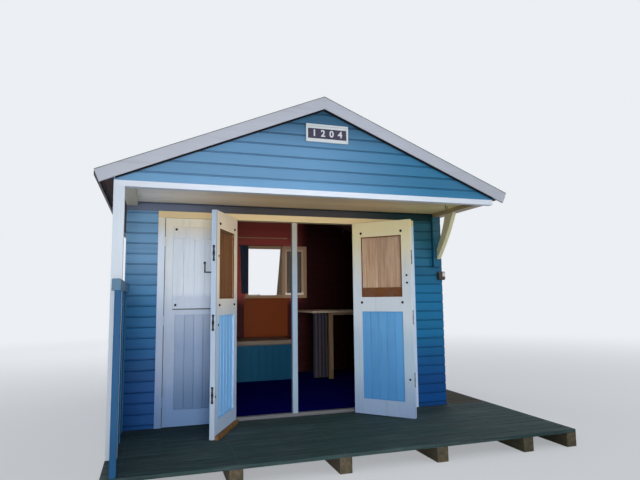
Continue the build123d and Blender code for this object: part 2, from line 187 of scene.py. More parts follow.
def bare(name, dark, light, grain="x", tone=0.25, roughness=0.62, moss=None, mossShare=0.0, shine=0.2):
    made, g, place = opened(name)
    dark, light = srgb(*dark), srgb(*light)
    lengthways = g.stretched(place, grainStretch[grain])
    figure = g.noise(lengthways, 42, 6, 0.62)
    pores = g.noise(lengthways, 260, 3, 0.6)
    board = g.node("Attribute", out="Fac", attribute_name="boardTone")
    body = g.node("ValToRGB", {"Fac": figure})
    for stop, share, shade in zip(body.socket.node.color_ramp.elements, (0.30, 0.72), (dark, light)):
        stop.position, stop.color = share, (*shade, 1)
    body = g.dim(body, 1.0 + (board - 0.5) * tone + (pores - 0.5) * 0.30)
    cells = g.node("TexVoronoi", {"Vector": lengthways, "Scale": 4.0}, feature="F1")
    knot = 1 - g.ease(cells + (figure - 0.5) * 0.04, 0.02, 0.06)
    body = g.mix(knot * 0.7, body, tuple(c * 0.35 for c in dark))
    if moss:
        patch = g.ease(g.noise(place, 3.2, 6, 0.68), 0.42, 0.62) * mossShare
        body = g.mix(patch, body, srgb(*moss))
    closed(made, g, Base_Color=body, Roughness=(pores - 0.5) * 0.3 + roughness,
           Normal=g.bump(0.5, 0.002, figure * 0.5 + pores * 0.5), Specular_IOR_Level=shine)


def felted(name, colour, light):
    made, g, place = opened(name)
    grit = g.noise(place, 420, 2, 0.7)
    cloud = g.noise(place, 2.4, 5, 0.65)
    streak = g.noise(g.stretched(place, (0.5, 6, 0.5)), 3, 4, 0.6)
    body = g.mix(g.ease(grit, 0.4, 0.62), srgb(*colour), srgb(*light))
    body = g.dim(body, 0.72 + cloud * 0.36 + streak * 0.20)
    closed(made, g, Base_Color=body, Roughness=0.9 - (grit - 0.5) * 0.2,
           Normal=g.bump(0.7, 0.0015, grit + cloud * 0.3))


def plain(name, colour, roughness, metallic=0.0, mottle=0.25, scale=60.0, depth=0.0004, shine=0.5):
    made, g, place = opened(name)
    speck = g.noise(place, scale, 4, 0.65)
    wear = g.noise(place, scale * 0.15, 3, 0.6)
    body = g.dim(srgb(*colour), 1.0 + (speck - 0.5) * mottle + (wear - 0.5) * mottle)
    closed(made, g, Base_Color=body, Roughness=(wear - 0.5) * 0.3 + roughness, Metallic=metallic,
           Normal=g.bump(0.4, depth, speck), Specular_IOR_Level=shine)


def clearGlass(name):
    made, g, place = opened(name)
    smear = g.ease(g.noise(place, 5, 5, 0.7), 0.45, 0.8)
    closed(made, g, Base_Color=srgb(196, 206, 208) + (1,), Roughness=smear * 0.15 + 0.04,
           Alpha=smear * 0.04 + 0.02, Specular_IOR_Level=0.8)


def dirtyGlass(name, grime, pale):                # glass with a brown film in upright runs, nearly opaque
    made, g, place = opened(name)
    runs = g.noise(g.stretched(place, (1, 1, 0.08)), 26, 4, 0.6)
    body = g.mix(g.ease(runs, 0.45, 0.75), srgb(*grime), srgb(*pale))
    closed(made, g, Base_Color=body, Roughness=runs * 0.3 + 0.08, Alpha=runs * 0.2 + 0.72,
           Specular_IOR_Level=0.7)


def woven(name, colour, stripe, width):
    # plain weave with broad stripes down it; the cloth's own map is in metres
    made, g = opened(name)[:2]
    flat = g.node("UVMap", uv_map="cloth")
    u, v = [g.along(flat, axis) for axis in "XY"]
    threads = (u * 2600).sine() * (v * 2600).sine()
    share = (u * (1 / width)).fraction()
    slub = g.noise(g.stretched(flat, (40, 2, 1)), 4, 4, 0.6)
    body = g.mix(g.ease(share, 0.52, 0.56) * (1 - g.ease(share, 0.94, 0.98)), srgb(*colour), srgb(*stripe))
    body = g.dim(body, 0.85 + slub * 0.30 + threads * 0.06)
    closed(made, g, Base_Color=body, Roughness=0.9 - slub * 0.1, Sheen_Weight=0.2,
           Normal=g.bump(0.5, 0.0005, threads * 0.5 + slub))


print("materials")
lapHeights = {"front": 0.091, "plain": 0.120, "pitch": 0.100, "gableFirst": 0.017, "gablePitch": 0.1043}
# painted shade along each board's lap: (first lap's height, pitch, how much darker)
frontLapShade = {"lapShade": (lapHeights["front"], lapHeights["pitch"], 0.30)}
plainLapShade = {"lapShade": (lapHeights["plain"], lapHeights["pitch"], 0.30)}
gableLapShade = {"lapShade": (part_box("canopy_gable")[0].z - lapHeights["gableFirst"],
                      lapHeights["gablePitch"], 0.28)}
damp = {"dirt": (10, 40, 74)}
frontWall = {**frontLapShade, **damp, "tone": 0.26, "knots": 0.1, "grime": 0.2, "shine": 0.15}
# painted light and shade on the front walls: deep blue at the foot, paler higher up the left wall; the right
# wall greyer and darker at the top under the canopy
painted("wallBlue", (4, 74, 140), ("z", 0.4, 1.4, 34, 114, 166), ("z", 1.2, 1.8, 112, 160, 200),
        ("z", 1.85, 2.15, 106, 150, 186), **frontWall)
painted("wallBlueRight", (4, 68, 132), ("z", 0.3, 1.1, 18, 102, 146), ("z", 1.3, 2.2, 38, 88, 102),
        **frontWall)
# painted shade under the soffit: a grey-blue strip of wall, darkest grey in the middle and dark teal at the
# right
painted("bandBlue", (100, 110, 132), ("x", -1.3, -0.5, 62, 60, 62), ("x", 0.4, 1.3, 14, 44, 46), **frontLapShade,
        tone=0.1, shine=0.15)
sideWall = {**plainLapShade, **damp, "tone": 0.1, "knots": 0.1, "shine": 0.2}
painted("sideBlue", (28, 84, 138), ("z", 0.2, 2.4, 78, 130, 170), grain="y", **sideWall)
painted("backBlue", (28, 84, 138), ("z", 0.2, 2.8, 84, 136, 174), **sideWall)
# painted shade on the gable: darker and more teal towards the right, and darker at the top where the barge
# boards shade it
painted("gableBlue", (100, 147, 186), ("x", -0.3, 1.2, 38, 112, 152), ("z", 2.64, 2.98, 44, 88, 118),
        **gableLapShade, **damp, tone=0.18, knots=0.5, grime=0.2, shine=0.25)
painted("plainBlue", (30, 84, 130), grain="z", **damp)
painted("screenBlue", (2, 76, 124), grain="y", tone=0.1, knots=0.1, shine=0.15, **damp)
painted("railBlue", (86, 122, 150), grain="y", tone=0.2, shine=0.2)
painted("endPostBlue", (22, 80, 124), grain="z", shine=0.15, **damp)
painted("stileBlue", (60, 122, 166), grain="z", shine=0.2, **damp)
painted("beamWhite", (214, 222, 234), knots=0.05)
painted("postWhite", (206, 216, 228), grain="z", knots=0.05)
# painted shade: the barge boards a little darker towards the right
painted("bargeGrey", (184, 188, 200), ("x", 0.0, 1.9, 172, 177, 188), knots=0.1, grime=0.2)
painted("eavesBrown", (62, 48, 62), grain="y")
# painted shadow: a near-black for strips set where the barge boards and the shutter feet cast shade
painted("packingBlack", (22, 20, 26), shine=0.1)
# painted light: the soffit's middle is near white, standing in for light thrown up from below, and both ends
# are warmer and darker
painted("soffitCream", (255, 246, 232), ("x", -1.5, -0.2, 228, 200, 158), ("x", 0.6, 1.5, 228, 206, 146),
        tone=0.12, knots=0.2, grime=0.2)
# painted shade: the right canopy side darker and browner than the left
painted("sideCream", (204, 192, 170), ("x", -1.0, 1.0, 164, 146, 108), grain="y", knots=0.2, grime=0.25)
painted("strutCream", (208, 202, 164), grain="z", knots=0.3, grime=0.2)
# painted light and shade on the jambs: bluish and dark low, white higher, warm at the head; a painted shadow
# line along the left jamb by the leaf; the right jamb one even pale blue as its own painted light level
painted("jambWhite", (100, 136, 182), ("z", 0.2, 0.95, 166, 184, 212), ("z", 0.95, 1.75, 214, 226, 242),
        ("z", 1.9, 2.1, 214, 208, 190), ("x", -1.3480, -1.3462, 70, 72, 78), ("x", -0.1, 0.1, 184, 202, 226),
        grain="z", knots=0.1)
# painted shade: the mullion's white is given grey-blue, warming towards the head
painted("mullionGrey", (134, 156, 176), ("z", 1.2, 2.3, 158, 152, 134), grain="z", knots=0.1)
painted("headCream", (214, 190, 142), knots=0.1, grime=0.15)
leafPaint = {"grain": "z", "tone": 0.06, "knots": 0.3, "grime": 0.16}
# painted light and shade on the leaves: bluish and darker towards the foot, white higher up, warm at the
# top; the inner leaves get lighter copies for the light they stand in, and the left inner leaf a darker
# painted shade along its free edge
painted("leafWhite", (104, 142, 192), ("z", 0.2, 0.95, 166, 184, 210), ("z", 0.95, 1.75, 220, 228, 234),
        ("z", 1.85, 2.1, 224, 216, 194), **leafPaint)
painted("leafFolded", (168, 190, 216), ("z", 0.2, 0.9, 190, 208, 228), ("z", 1.0, 1.6, 255, 236, 206),
        ("y", -0.608, -0.6135, 172, 190, 212), **leafPaint)
painted("leafRight", (144, 168, 202), ("z", 0.15, 0.7, 174, 197, 216), ("z", 0.8, 1.2, 202, 213, 222),
        ("z", 1.4, 2.1, 226, 214, 168), **leafPaint)
# painted shade: the outer panels darker and bluer towards the foot
painted("panelWhite", (80, 116, 160), ("z", 0.3, 0.85, 128, 153, 188), ("z", 0.85, 1.2, 156, 172, 198),
        grain="z", tone=0.1, knots=0.15)
# painted shade and light on the shutters: the foot ledge a shade darker than the boards above, warm at the
# top
painted("shutterWhite", (190, 203, 222), ("z", 1.34, 1.42, 212, 222, 234), ("z", 1.85, 2.1, 218, 210, 192),
        grain="z", tone=0.08, knots=0.2)
bluePanel = {"grain": "z", "tone": 0.16, "knots": 0.35, "shine": 0.2}
# painted light: both blues grow lighter higher up, and the folded inner left leaf has a brighter copy
painted("panelBlue", (78, 142, 200), ("z", 0.3, 1.2, 98, 160, 212), **bluePanel)
painted("panelBlueFolded", (132, 190, 244), ("z", 0.3, 1.2, 140, 196, 246), **bluePanel)
# the left leaves' shutter backs take a darker copy of the same boards as painted shade
bare("shutterBack", (158, 122, 94), (198, 168, 138), "z")
bare("shutterBackDark", (104, 62, 30), (142, 96, 54), "z", shine=0.05)
bare("battenOrange", (96, 50, 8), (130, 76, 20), shine=0.05)
trodden = {"tone": 0.45, "roughness": 0.75}
bare("deckTimber", (22, 36, 42), (66, 86, 86), moss=(36, 62, 60), mossShare=0.7, **trodden)
bare("walkwayTimber", (30, 26, 18), (72, 62, 44), moss=(40, 54, 34), mossShare=0.6, **trodden)
bare("bearerTimber", (56, 50, 40), (112, 98, 76), "y", moss=(48, 58, 44), mossShare=0.5)
bare("chockTimber", (92, 62, 34), (146, 106, 62), "y")
painted("sillTimber", (96, 98, 102), grime=0.4)
felted("roofGrey", (74, 82, 76), (128, 136, 126))
bare("boardBrown", (72, 50, 46), (112, 82, 70), "y")
indoors = {"grime": 0.05, "shine": 0.08}
# painted shade: the lining grows darker towards the right of the room
painted("liningMaroon", (64, 16, 18), ("z", 1.20, 1.42, 164, 72, 64), ("x", 0.60, 1.0, 42, 10, 10),
        tone=0.16, knots=0.1, **indoors)
painted("sheetOrange", (124, 56, 16), grain="z", **indoors)
plain("carpetNavy", (1, 3, 92), 0.95, mottle=0.5, scale=500, depth=0.002, shine=0.02)
painted("benchTeal", (14, 78, 110), grain="z", tone=0.1, **indoors)
painted("seatBeige", (124, 112, 98), shine=0.2)
painted("seatEdge", (98, 94, 86), shine=0.2)
bare("worktopPale", (168, 148, 122), (214, 198, 172), "y")
bare("legTimber", (128, 104, 80), (168, 142, 112), "z")
# the window is white outdoors; on the side that faces the room its white is given as brown, painted shade, a
# little paler at its right jamb as painted light, and the sash keeps its white only along the foot, darker
# above as painted shade
painted("sashWhite", (255, 244, 230), ("z", 1.41, 1.45, 198, 166, 136), ("y", 3.012, 3.030, 214, 216, 216))
painted("windowWhite", (158, 126, 90), ("x", 0.54, 0.58, 174, 140, 110), ("y", 2.992, 3.012, 214, 216, 216))
plain("blackIron", (26, 26, 28), 0.45, 0.6)
plain("zincSteel", (120, 120, 118), 0.42, 0.8)
clearGlass("glassClear")
dirtyGlass("glassDirty", (70, 46, 22), (116, 90, 58))
painted("signWhite", (206, 212, 216), grime=0.2)
plain("signPlum", (44, 38, 66), 0.42, mottle=0.15)
plain("lampBrown", (36, 28, 28), 0.5)
plain("lensPale", (196, 192, 186), 0.2, mottle=0.1)
woven("clothStriped", (14, 24, 58), (78, 62, 50), 0.11)
woven("clothNavy", (26, 42, 66), (20, 32, 54), 0.05)
woven("clothBrown", (142, 122, 96), (122, 102, 80), 0.05)


def addObject(name, data):
    made = bpy.data.objects.new(name, data)
    bpy.context.scene.collection.objects.link(made)
    return made


def meshObject(name, vertices, faces, surface):
    mesh = bpy.data.meshes.new(name)
    mesh.from_pydata([tuple(v) for v in vertices], [], faces)
    mesh.materials.append(bpy.data.materials[surface])
    mesh.update()
    return addObject(name, mesh)


def tidied(made, bevel=0.0):
    work = bmesh.new()
    work.from_mesh(made.data)
    bmesh.ops.remove_doubles(work, verts=work.verts, dist=0.00002)
    bmesh.ops.dissolve_degenerate(work, dist=0.00002, edges=work.edges)
    bmesh.ops.recalc_face_normals(work, faces=work.faces)
    if bevel:
        sharp = [e for e in work.edges if len(e.link_faces) == 2 and e.calc_face_angle() > 0.5]
        bmesh.ops.bevel(work, geom=sharp, offset=bevel, segments=2, profile=0.6, affect="EDGES",
                        clamp_overlap=True)
    work.to_mesh(made.data)
    work.free()
    made.data.update()
    return made


def prism(name, outline, start, along, surface, bevel=0.0):
    # a flat outline of points, pushed along a vector
    start, along = Vector(start), Vector(along)
    count = len(outline)
    vertices = [start + Vector(p) for p in outline] + [start + Vector(p) + along for p in outline]
    faces = [tuple(range(count))[::-1], tuple(range(count, 2 * count))]
    faces += [(i, (i + 1) % count, (i + 1) % count + count, i + count) for i in range(count)]
    return tidied(meshObject(name, vertices, faces, surface), bevel)


def block(name, low, high, surface, bevel=0.0015):
    (x0, y0, z0), (x1, y1, z1) = low, high
    outline = [(x0, y0, z0), (x1, y0, z0), (x1, y1, z0), (x0, y1, z0)]
    return prism(name, outline, (0, 0, 0), (0, 0, z1 - z0), surface, bevel)


def tube(name, rings, surface):
    # rings of points, each joined to the next, with flat ends
    steps = len(rings[0])
    faces = [(ring * steps + step, ring * steps + (step + 1) % steps,
              (ring + 1) * steps + (step + 1) % steps, (ring + 1) * steps + step)
             for ring in range(len(rings) - 1) for step in range(steps)]
    faces += [tuple(range(steps))[::-1], tuple(range((len(rings) - 1) * steps, len(rings) * steps))]
    return tidied(meshObject(name, [point for ring in rings for point in ring], faces, surface))


def lathe(name, profile, centre, axis, surface, steps=16):
    # (radius, height) points turned about an axis
    turn = Vector((0, 0, 1)).rotation_difference(Vector(axis)).to_matrix()
    angles = [2 * math.pi * step / steps for step in range(steps)]
    rings = [[Vector(centre) + turn @ Vector((radius * math.cos(angle), radius * math.sin(angle), height))
              for angle in angles] for radius, height in profile]
    return tube(name, rings, surface)


def bar(name, points, radius, surface, sides=10):
    # a round bar along a path
    points = [Vector(p) for p in points]
    rings = []
    across = (points[1] - points[0]).orthogonal().normalized()
    for index, point in enumerate(points):
        ahead = (points[min(index + 1, len(points) - 1)] - points[max(index - 1, 0)]).normalized()
        across = (across - ahead * across.dot(ahead)).normalized()
        other = ahead.cross(across)
        angles = [2 * math.pi * step / sides for step in range(sides)]
        rings.append([point + (across * math.cos(angle) + other * math.sin(angle)) * radius
                      for angle in angles])
    return tube(name, rings, surface)


def buildRepeatTree():
    tree = bpy.data.node_groups.new("repeatTimber", "GeometryNodeTree")
    kinds = {"Geometry": "Geometry", "Count": "Int", "Step": "Vector", "Jitter": "Vector", "Seed": "Int",
             "Lowest": "Float", "Highest": "Float", "Apex": "Float", "Run": "Float", "Material": "Material"}
    for name, kind in kinds.items():
        tree.interface.new_socket(name, in_out="INPUT", socket_type="NodeSocket" + kind)
    tree.interface.new_socket("Geometry", in_out="OUTPUT", socket_type="NodeSocketGeometry")
    g = Graph(tree)
    given = {name: g.node("NodeGroupInput", out=name) for name in kinds}
    line = g.node("GeometryNodeMeshLine", {"Count": given["Count"], "Offset": given["Step"]}, mode="OFFSET")
    shift = g.node("FunctionNodeRandomValue", {0: g.dim(given["Jitter"], -1.0), 1: given["Jitter"],
                                               8: given["Seed"]}, data_type="FLOAT_VECTOR")
    line = g.node("GeometryNodeSetPosition", {"Geometry": line, "Offset": shift})
    copies = g.node("GeometryNodeInstanceOnPoints", {"Points": line, "Instance": given["Geometry"]})
    tone = g.node("FunctionNodeRandomValue", {2: 0.0, 3: 1.0, 8: given["Seed"] + 7}, 1, data_type="FLOAT")
    copies = g.node("GeometryNodeStoreNamedAttribute",
                    {"Geometry": copies, "Name": "boardTone", "Value": tone},
                    data_type="FLOAT", domain="INSTANCE")
    solid = g.node("GeometryNodeRealizeInstances", {"Geometry": copies})
    x, y, z = [g.along(g.node("GeometryNodeInputPosition"), axis) for axis in "XYZ"]
    z = z.most(given["Lowest"]).least(given["Highest"])
    limit = ((given["Apex"] - z) * given["Run"]).most(0.0)
    moved = g.node("CombineXYZ", {"X": x.least(limit).most(limit * -1.0), "Y": y, "Z": z})
    solid = g.node("GeometryNodeSetPosition", {"Geometry": solid, "Position": moved})
    solid = g.node("GeometryNodeSetMaterial", {"Geometry": solid, "Material": given["Material"]})
    g.node("NodeGroupOutput", {"Geometry": solid})
    return tree


repeatTree = buildRepeatTree()
repeatInputs = {item.name: item.identifier for item in repeatTree.interface.items_tree
                if item.in_out == "INPUT"}
roofPitch = math.radians(22.6)
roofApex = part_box("canopy_gable")[1].z            # where the undersides of the slopes meet
roofRun = 1 / math.tan(roofPitch)                 # how far a slope runs out for each metre that it drops
uncut = {"Lowest": -9.0, "Highest": 9.0, "Apex": 99.0, "Run": 1.0}
underRoof = {"Apex": roofApex, "Run": roofRun}


def repeat(made, count, step, seed=1, jitter=(0, 0, 0), **limits):
    # copies what the object holds along a line, and cuts it to a height or to the gable's slope
    maker = made.modifiers.new("repeat", "NODES")
    maker.node_group = repeatTree
    wanted = {**uncut, **limits, "Count": count, "Step": step, "Jitter": jitter, "Seed": seed,
              "Material": made.data.materials[0]}
    for key, value in wanted.items():
        maker[repeatInputs[key]] = value
    made.data = bpy.data.meshes.new_from_object(made.evaluated_get(bpy.context.evaluated_depsgraph_get()))
    made.modifiers.clear()
    return made


def joined(name, parts):
    with bpy.context.temp_override(active_object=parts[0], selected_editable_objects=parts):
        bpy.ops.object.join()
    parts[0].name = parts[0].data.name = name
    return parts[0]


def placed(made, slot, *replaced):
    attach(made, "root")
    if replaced:
        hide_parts(*replaced)


def piece(name, parts, slot, *replaced):
    placed(joined(name, parts), slot, *replaced)


up, forward, right, back = (0, 0, 1), (0, -1, 0), (1, 0, 0), (0, 1, 0)
hair = 0.0002                                     # left between two faces that would share a place


def profileBoards(name, profile, start, along, up, out, count, pitch, surface, seed=1, jitter=0.0, **limits):
    # boards whose section is (depth, rise) points; depth goes in from the face, rise goes up
    along, up, out = Vector(along), Vector(up), Vector(out)
    made = prism(name, [out * -depth + up * rise for depth, rise in profile], start, along, surface)
    return repeat(made, count, up * pitch, seed, out * jitter, **limits)


shiplap = {"thickness": 0.016, "cove": 0.016, "slot": 0.010, "rebate": 0.010, "round": 0.0015,
           "seam": 0.0003}


def shiplapSection(pitch):
    thickness, cove, slot, rebate, edge, seam = shiplap.values()
    return [(edge, 0), (0, 0.002), (0, pitch - cove - 2 * edge), (edge, pitch - cove),
            (rebate, pitch - slot), (rebate, pitch - seam), (thickness, pitch - seam), (thickness, 0)]


matched = {"vee": 0.003, "slot": hair, "groove": 0.003, "web": 0.001}


def matchSection(pitch, thickness, vee=matched["vee"], slot=matched["slot"]):
    # tongued boards with a small vee and a slot
    deep = min(vee + matched["groove"], thickness - matched["web"])
    return [(vee, 0), (0, vee), (0, pitch - slot - vee), (vee, pitch - slot), (deep, pitch - slot),
            (deep, pitch - hair), (thickness, pitch - hair), (thickness, 0)]


cladding = {"pitch": 0.100, "boardDepth": 0.016, "liningPitch": 0.088, "liningDepth": 0.012, "seam": 0.001,
            "jitter": 0.0006}
boardDepth, liningDepth, seam = cladding["boardDepth"], cladding["liningDepth"], cladding["seam"]
wallInner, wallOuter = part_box("floor")[1].x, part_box("right_wall")[1].x


def rowsBefore(height, pitch):
    return math.floor(height / pitch + 1e-6)


def gableCore(y0, y1, low, half):                 # a slab under the roof's slopes
    corner = roofApex - half / roofRun
    outline = [(-half, 0, low), (half, 0, low), (half, 0, corner), (0, 0, roofApex), (-half, 0, corner)]
    return prism("core", outline, (0, y0, 0), (0, y1 - y0, 0), "plainBlue")


def flatCladding(x0, x1, y, out, z0, z1, surface, seed, origin, **limits):
    # shiplap on a wall that faces along Y, with the rows counted from one height
    pitch = cladding["pitch"]
    start = origin + rowsBefore(z0 - origin, pitch) * pitch
    return profileBoards("boards", shiplapSection(pitch), (x0, y, start), (x1 - x0, 0, 0), up, (0, out, 0),
                         math.ceil((z1 - start) / pitch - 1e-6), pitch, surface, seed, cladding["jitter"],
                         Lowest=z0, Highest=z1, **limits)


def lining(start, along, out, top, seed, **limits):
    pitch = cladding["liningPitch"]
    return profileBoards("lining", matchSection(pitch, liningDepth), start, along, up, out,
                         math.ceil((top - start[2]) / pitch), pitch, "liningMaroon", seed, **limits)


def cornerPost(side, y0, y1, z0, z1=None):        # one corner, cut to the roof's slope unless it stops lower
    foot, head = [[(side * x, y0, z) for x, z in ((wallInner, a), (wallOuter, b))] for a, b in
                  ((z0, z0), (z1 or roofApex - wallInner / roofRun, z1 or roofApex - wallOuter / roofRun))]
    return prism("corner", foot + head[::-1], (0, 0, 0), (0, y1 - y0, 0), "plainBlue")


print("front wall")
wallBase = lapHeights["front"] - cladding["pitch"]
for node, surface, seed in (("front_wall_left", "wallBlue", 3), ("front_wall_right", "wallBlueRight", 8)):
    low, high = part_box(node)
    coreFrom, coreTo = low.y + boardDepth + seam, high.y - liningDepth - seam
    x0, x1 = max(low.x, -wallInner), min(high.x, wallInner)
    piece("cladding_" + node, [
        flatCladding(low.x, high.x, low.y, -1, low.z, high.z, surface, seed, wallBase),
        block("core", (x0, coreFrom, low.z), (x1, coreTo, high.z), "plainBlue"),
        lining((x0, high.y, low.z), (x1 - x0, 0, 0), back, high.z, seed + 1, Highest=high.z),
        cornerPost(-1 if low.x < 0 else 1, coreFrom, high.y, low.z, high.z)], "wall_paint", node)

low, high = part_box("front_wall_gable")
piece("cladding_front_wall_gable", [
    flatCladding(low.x, high.x, low.y, -1, low.z, high.z, "bandBlue", 12, wallBase, **underRoof),
    gableCore(coreFrom, coreTo, low.z, wallInner),
    lining((-wallInner, high.y, low.z), (2 * wallInner, 0, 0), back, high.z, 14, Highest=high.z,
           **underRoof),
    *[cornerPost(side, coreFrom, high.y, low.z) for side in (-1, 1)]], "wall_paint", "front_wall_gable")

print("side walls")
for node, side, seed in (("left_wall", -1, 21), ("right_wall", 1, 27)):
    low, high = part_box(node)
    outer, inner = (low.x, high.x) if side < 0 else (high.x, low.x)
    eaves, along = roofApex - abs(outer) / roofRun, (0, high.y - low.y, 0)
    rows = math.ceil((eaves - low.z) / cladding["pitch"])
    coreOuter, coreInner = outer - side * (boardDepth + seam), inner + side * (liningDepth + seam)
    piece("cladding_" + node, [
        profileBoards("boards", shiplapSection(cladding["pitch"]), (outer, low.y, low.z), along, up,
                      (side, 0, 0), rows, cladding["pitch"], "sideBlue", seed, cladding["jitter"],
                      Highest=eaves),
        block("core", (min(coreOuter, coreInner), low.y, low.z),
              (max(coreOuter, coreInner), high.y, roofApex - abs(coreOuter) / roofRun), "plainBlue"),
        lining((inner, low.y, low.z), along, (-side, 0, 0), high.z, seed + 1,
               Highest=roofApex - abs(inner + side * liningDepth) / roofRun)], "wall_paint", node)

print("back wall")
low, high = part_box("back_wall")
gapLow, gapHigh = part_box("window_frame")
face, inside = high.y, low.y
runs = ((low.x, high.x, low.z, gapLow.z, {}), (low.x, gapLow.x, gapLow.z, gapHigh.z, {}),
        (gapHigh.x, high.x, gapLow.z, gapHigh.z, {}), (low.x, high.x, gapHigh.z, high.z, underRoof))
coreFrom, coreTo = inside + liningDepth + seam, face - boardDepth - seam
parts = []
for index, (x0, x1, z0, z1, limits) in enumerate(runs):
    parts.append(flatCladding(x0, x1, face, 1, z0, z1, "backBlue", 31 + index, low.z, **limits))
    x0, x1 = max(x0, -wallInner), min(x1, wallInner)
    start = low.z + rowsBefore(z0 - low.z, cladding["liningPitch"]) * cladding["liningPitch"]
    parts.append(lining((x0, inside, start), (x1 - x0, 0, 0), forward, z1, 41 + index, Lowest=z0, Highest=z1,
                        **limits))
    if not limits:
        parts.append(block("core", (x0, coreFrom, z0), (x1, coreTo, z1), "plainBlue", 0))
parts.append(gableCore(coreFrom, coreTo, gapHigh.z, wallInner))
parts += [cornerPost(side, inside, coreTo + seam, low.z) for side in (-1, 1)]
piece("cladding_back_wall", parts, "wall_paint", "back_wall")

print("canopy")
gableBoards = {"rows": 9, "pitch": lapHeights["gablePitch"], "firstRow": lapHeights["gableFirst"],
               "jitter": 0.0008}
low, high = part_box("canopy_gable")
pitch = gableBoards["pitch"]
piece("gable_boards", [
    profileBoards("boards", shiplapSection(pitch), (low.x, low.y, low.z - gableBoards["firstRow"]),
                  (high.x - low.x, 0, 0), up, forward, gableBoards["rows"], pitch, "gableBlue", 51,
                  gableBoards["jitter"], Lowest=low.z, Highest=high.z, **underRoof),
    gableCore(low.y + boardDepth + seam, high.y, low.z, high.x)], "gable_paint", "canopy_gable")

soffitRows = 9
low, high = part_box("soffit")
pitch = (high.y - low.y) / soffitRows
placed(profileBoards("soffit_boards", matchSection(pitch, high.z - low.z), (low.x, low.y, low.z),
                     (high.x - low.x, 0, 0), back, (0, 0, -1), soffitRows, pitch, "soffitCream", 55),
       "white_paint", "soffit")

for surface, names in {
        "beamWhite": ["canopy_beam"], "postWhite": ["canopy_post"], "sideCream": ["canopy_sides"],
        "wallBlueRight": ["bracket_plate"], "strutCream": ["bracket_strut"],
        "bargeGrey": ["front_barge_left", "front_barge_right", "back_barge_left", "back_barge_right"],
        "eavesBrown": ["eaves_trims"], "roofGrey": ["ridge_cap"], "boardBrown": ["rafters", "ridge_beam"],
        "bearerTimber": ["bearers"], "sillTimber": ["door_sill"], "jambWhite": ["door_jambs"],
        "mullionGrey": ["door_mullion"], "headCream": ["door_head"],
        "leafWhite": ["door_leaf_outer_left", "door_leaf_outer_right", "door_hinges"],
        "leafFolded": ["door_leaf_inner_left"], "leafRight": ["door_leaf_inner_right"],
        "chockTimber": ["door_chock"], "glassClear": ["door_glass", "casement_pane"],
        "glassDirty": ["window_pane"], "windowWhite": ["window_frame"],
        "sashWhite": ["window_sash", "window_casement"], "carpetNavy": ["floor"], "benchTeal": ["bench_end"],
        "legTimber": ["worktop_leg"]}.items():
    for name in names:
        nodes[name].data.materials.clear()
        nodes[name].data.materials.append(bpy.data.materials[surface])

print("door leaves")
leaf = {"floor": 0.153, "front": -0.020, "edge": 0.0015, "width": 0.65125, "thickness": 0.044,
        "stile": 0.100, "panelFoot": 0.1522, "panelHead": 1.0428, "windowFoot": 1.192, "windowHead": 1.826,
        "shutterSide": 0.072, "shutterFoot": 1.100, "shutterHead": 1.895, "seat": 0.0002}
# each leaf by its hinge line, the side it runs to and how far it stands open
hung = {"outerLeft": (-1.3415, 1, 0), "innerLeft": (-0.68725, 1, 115), "innerRight": (0.62125, -1, 133),
        "outerRight": (1.2755, -1, 0)}
seat, openingLow, leafEnd = leaf["seat"], leaf["edge"] + leaf["stile"], leaf["edge"] + leaf["width"]
openingHigh = leafEnd - leaf["stile"]
along, through = right, back                      # a leaf's own axes, before it is hung


def hang(name, made):
    # takes what was drawn as (along the leaf, through it, up it) to where the leaf stands
    hinge, side, degrees = hung[name]
    angle = math.radians(degrees)
    length = Vector((side * math.cos(angle), -math.sin(angle), 0))
    depth = Vector((-length.y, length.x, 0)) * side
    place = Matrix((length, depth, (0, 0, 1))).transposed().to_4x4()
    place.translation = (hinge, leaf["front"], leaf["floor"])
    made.data.transform(place)
    if side < 0:
        made.data.flip_normals()
    return made


def bead(x0, x1, z0, z1, front, rear, width, surface):
    # four moulded strips round an opening, seen from the side they face
    return joined("bead", [
        block("strip", (a, min(front, rear), c), (b, max(front, rear), d), surface, 0.002) for a, b, c, d in
        ((x0, x1, z0, z0 + width), (x0, x1, z1 - width, z1), (x0, x0 + width, z0 + width, z1 - width),
         (x1 - width, x1, z0 + width, z1 - width))])


def upright(first, last, face, foot, head, out, depth, count, surface, seed, jitter=0.0, **joint):
    # tongued boards that stand side by side in a leaf
    pitch = (last - first) / count
    return profileBoards("boards", matchSection(pitch, depth, **joint), (first, face, foot),
                         (0, 0, head - foot), along, out, count, pitch, surface, seed, jitter)


frontJoint, backJoint = {"vee": 0.003, "slot": 0.0012}, {"vee": 0.003, "slot": 0.0050}
panel = {"count": 5, "front": 0.0151, "middle": 0.022, "back": 0.0289}


def lowerPanel(blue):
    # grooved boards, white on the outer face and blue on the inner one
    ends, heights = (openingLow + seat, openingHigh - seat), (leaf["panelFoot"], leaf["panelHead"])
    return joined("panel", [
        upright(*ends, panel["front"], *heights, forward, panel["middle"] - panel["front"] - 0.0001,
                panel["count"], "panelWhite", 71, **frontJoint),
        upright(*ends, panel["back"], *heights, through, panel["back"] - panel["middle"], panel["count"],
                blue, 73, **backJoint)])


shutter = {"boards": 5, "ledge": 0.118, "face": -0.0125, "back": -0.0042, "proud": -0.020,
           "battenHeight": 0.098, "batten": 0.014, "shadowStrip": 0.008, "margin": 0.002,
           "reveal": 0.0016, "revealBack": 0.0278}
shutterEnds = (leaf["edge"] + leaf["shutterSide"], leafEnd - leaf["shutterSide"])


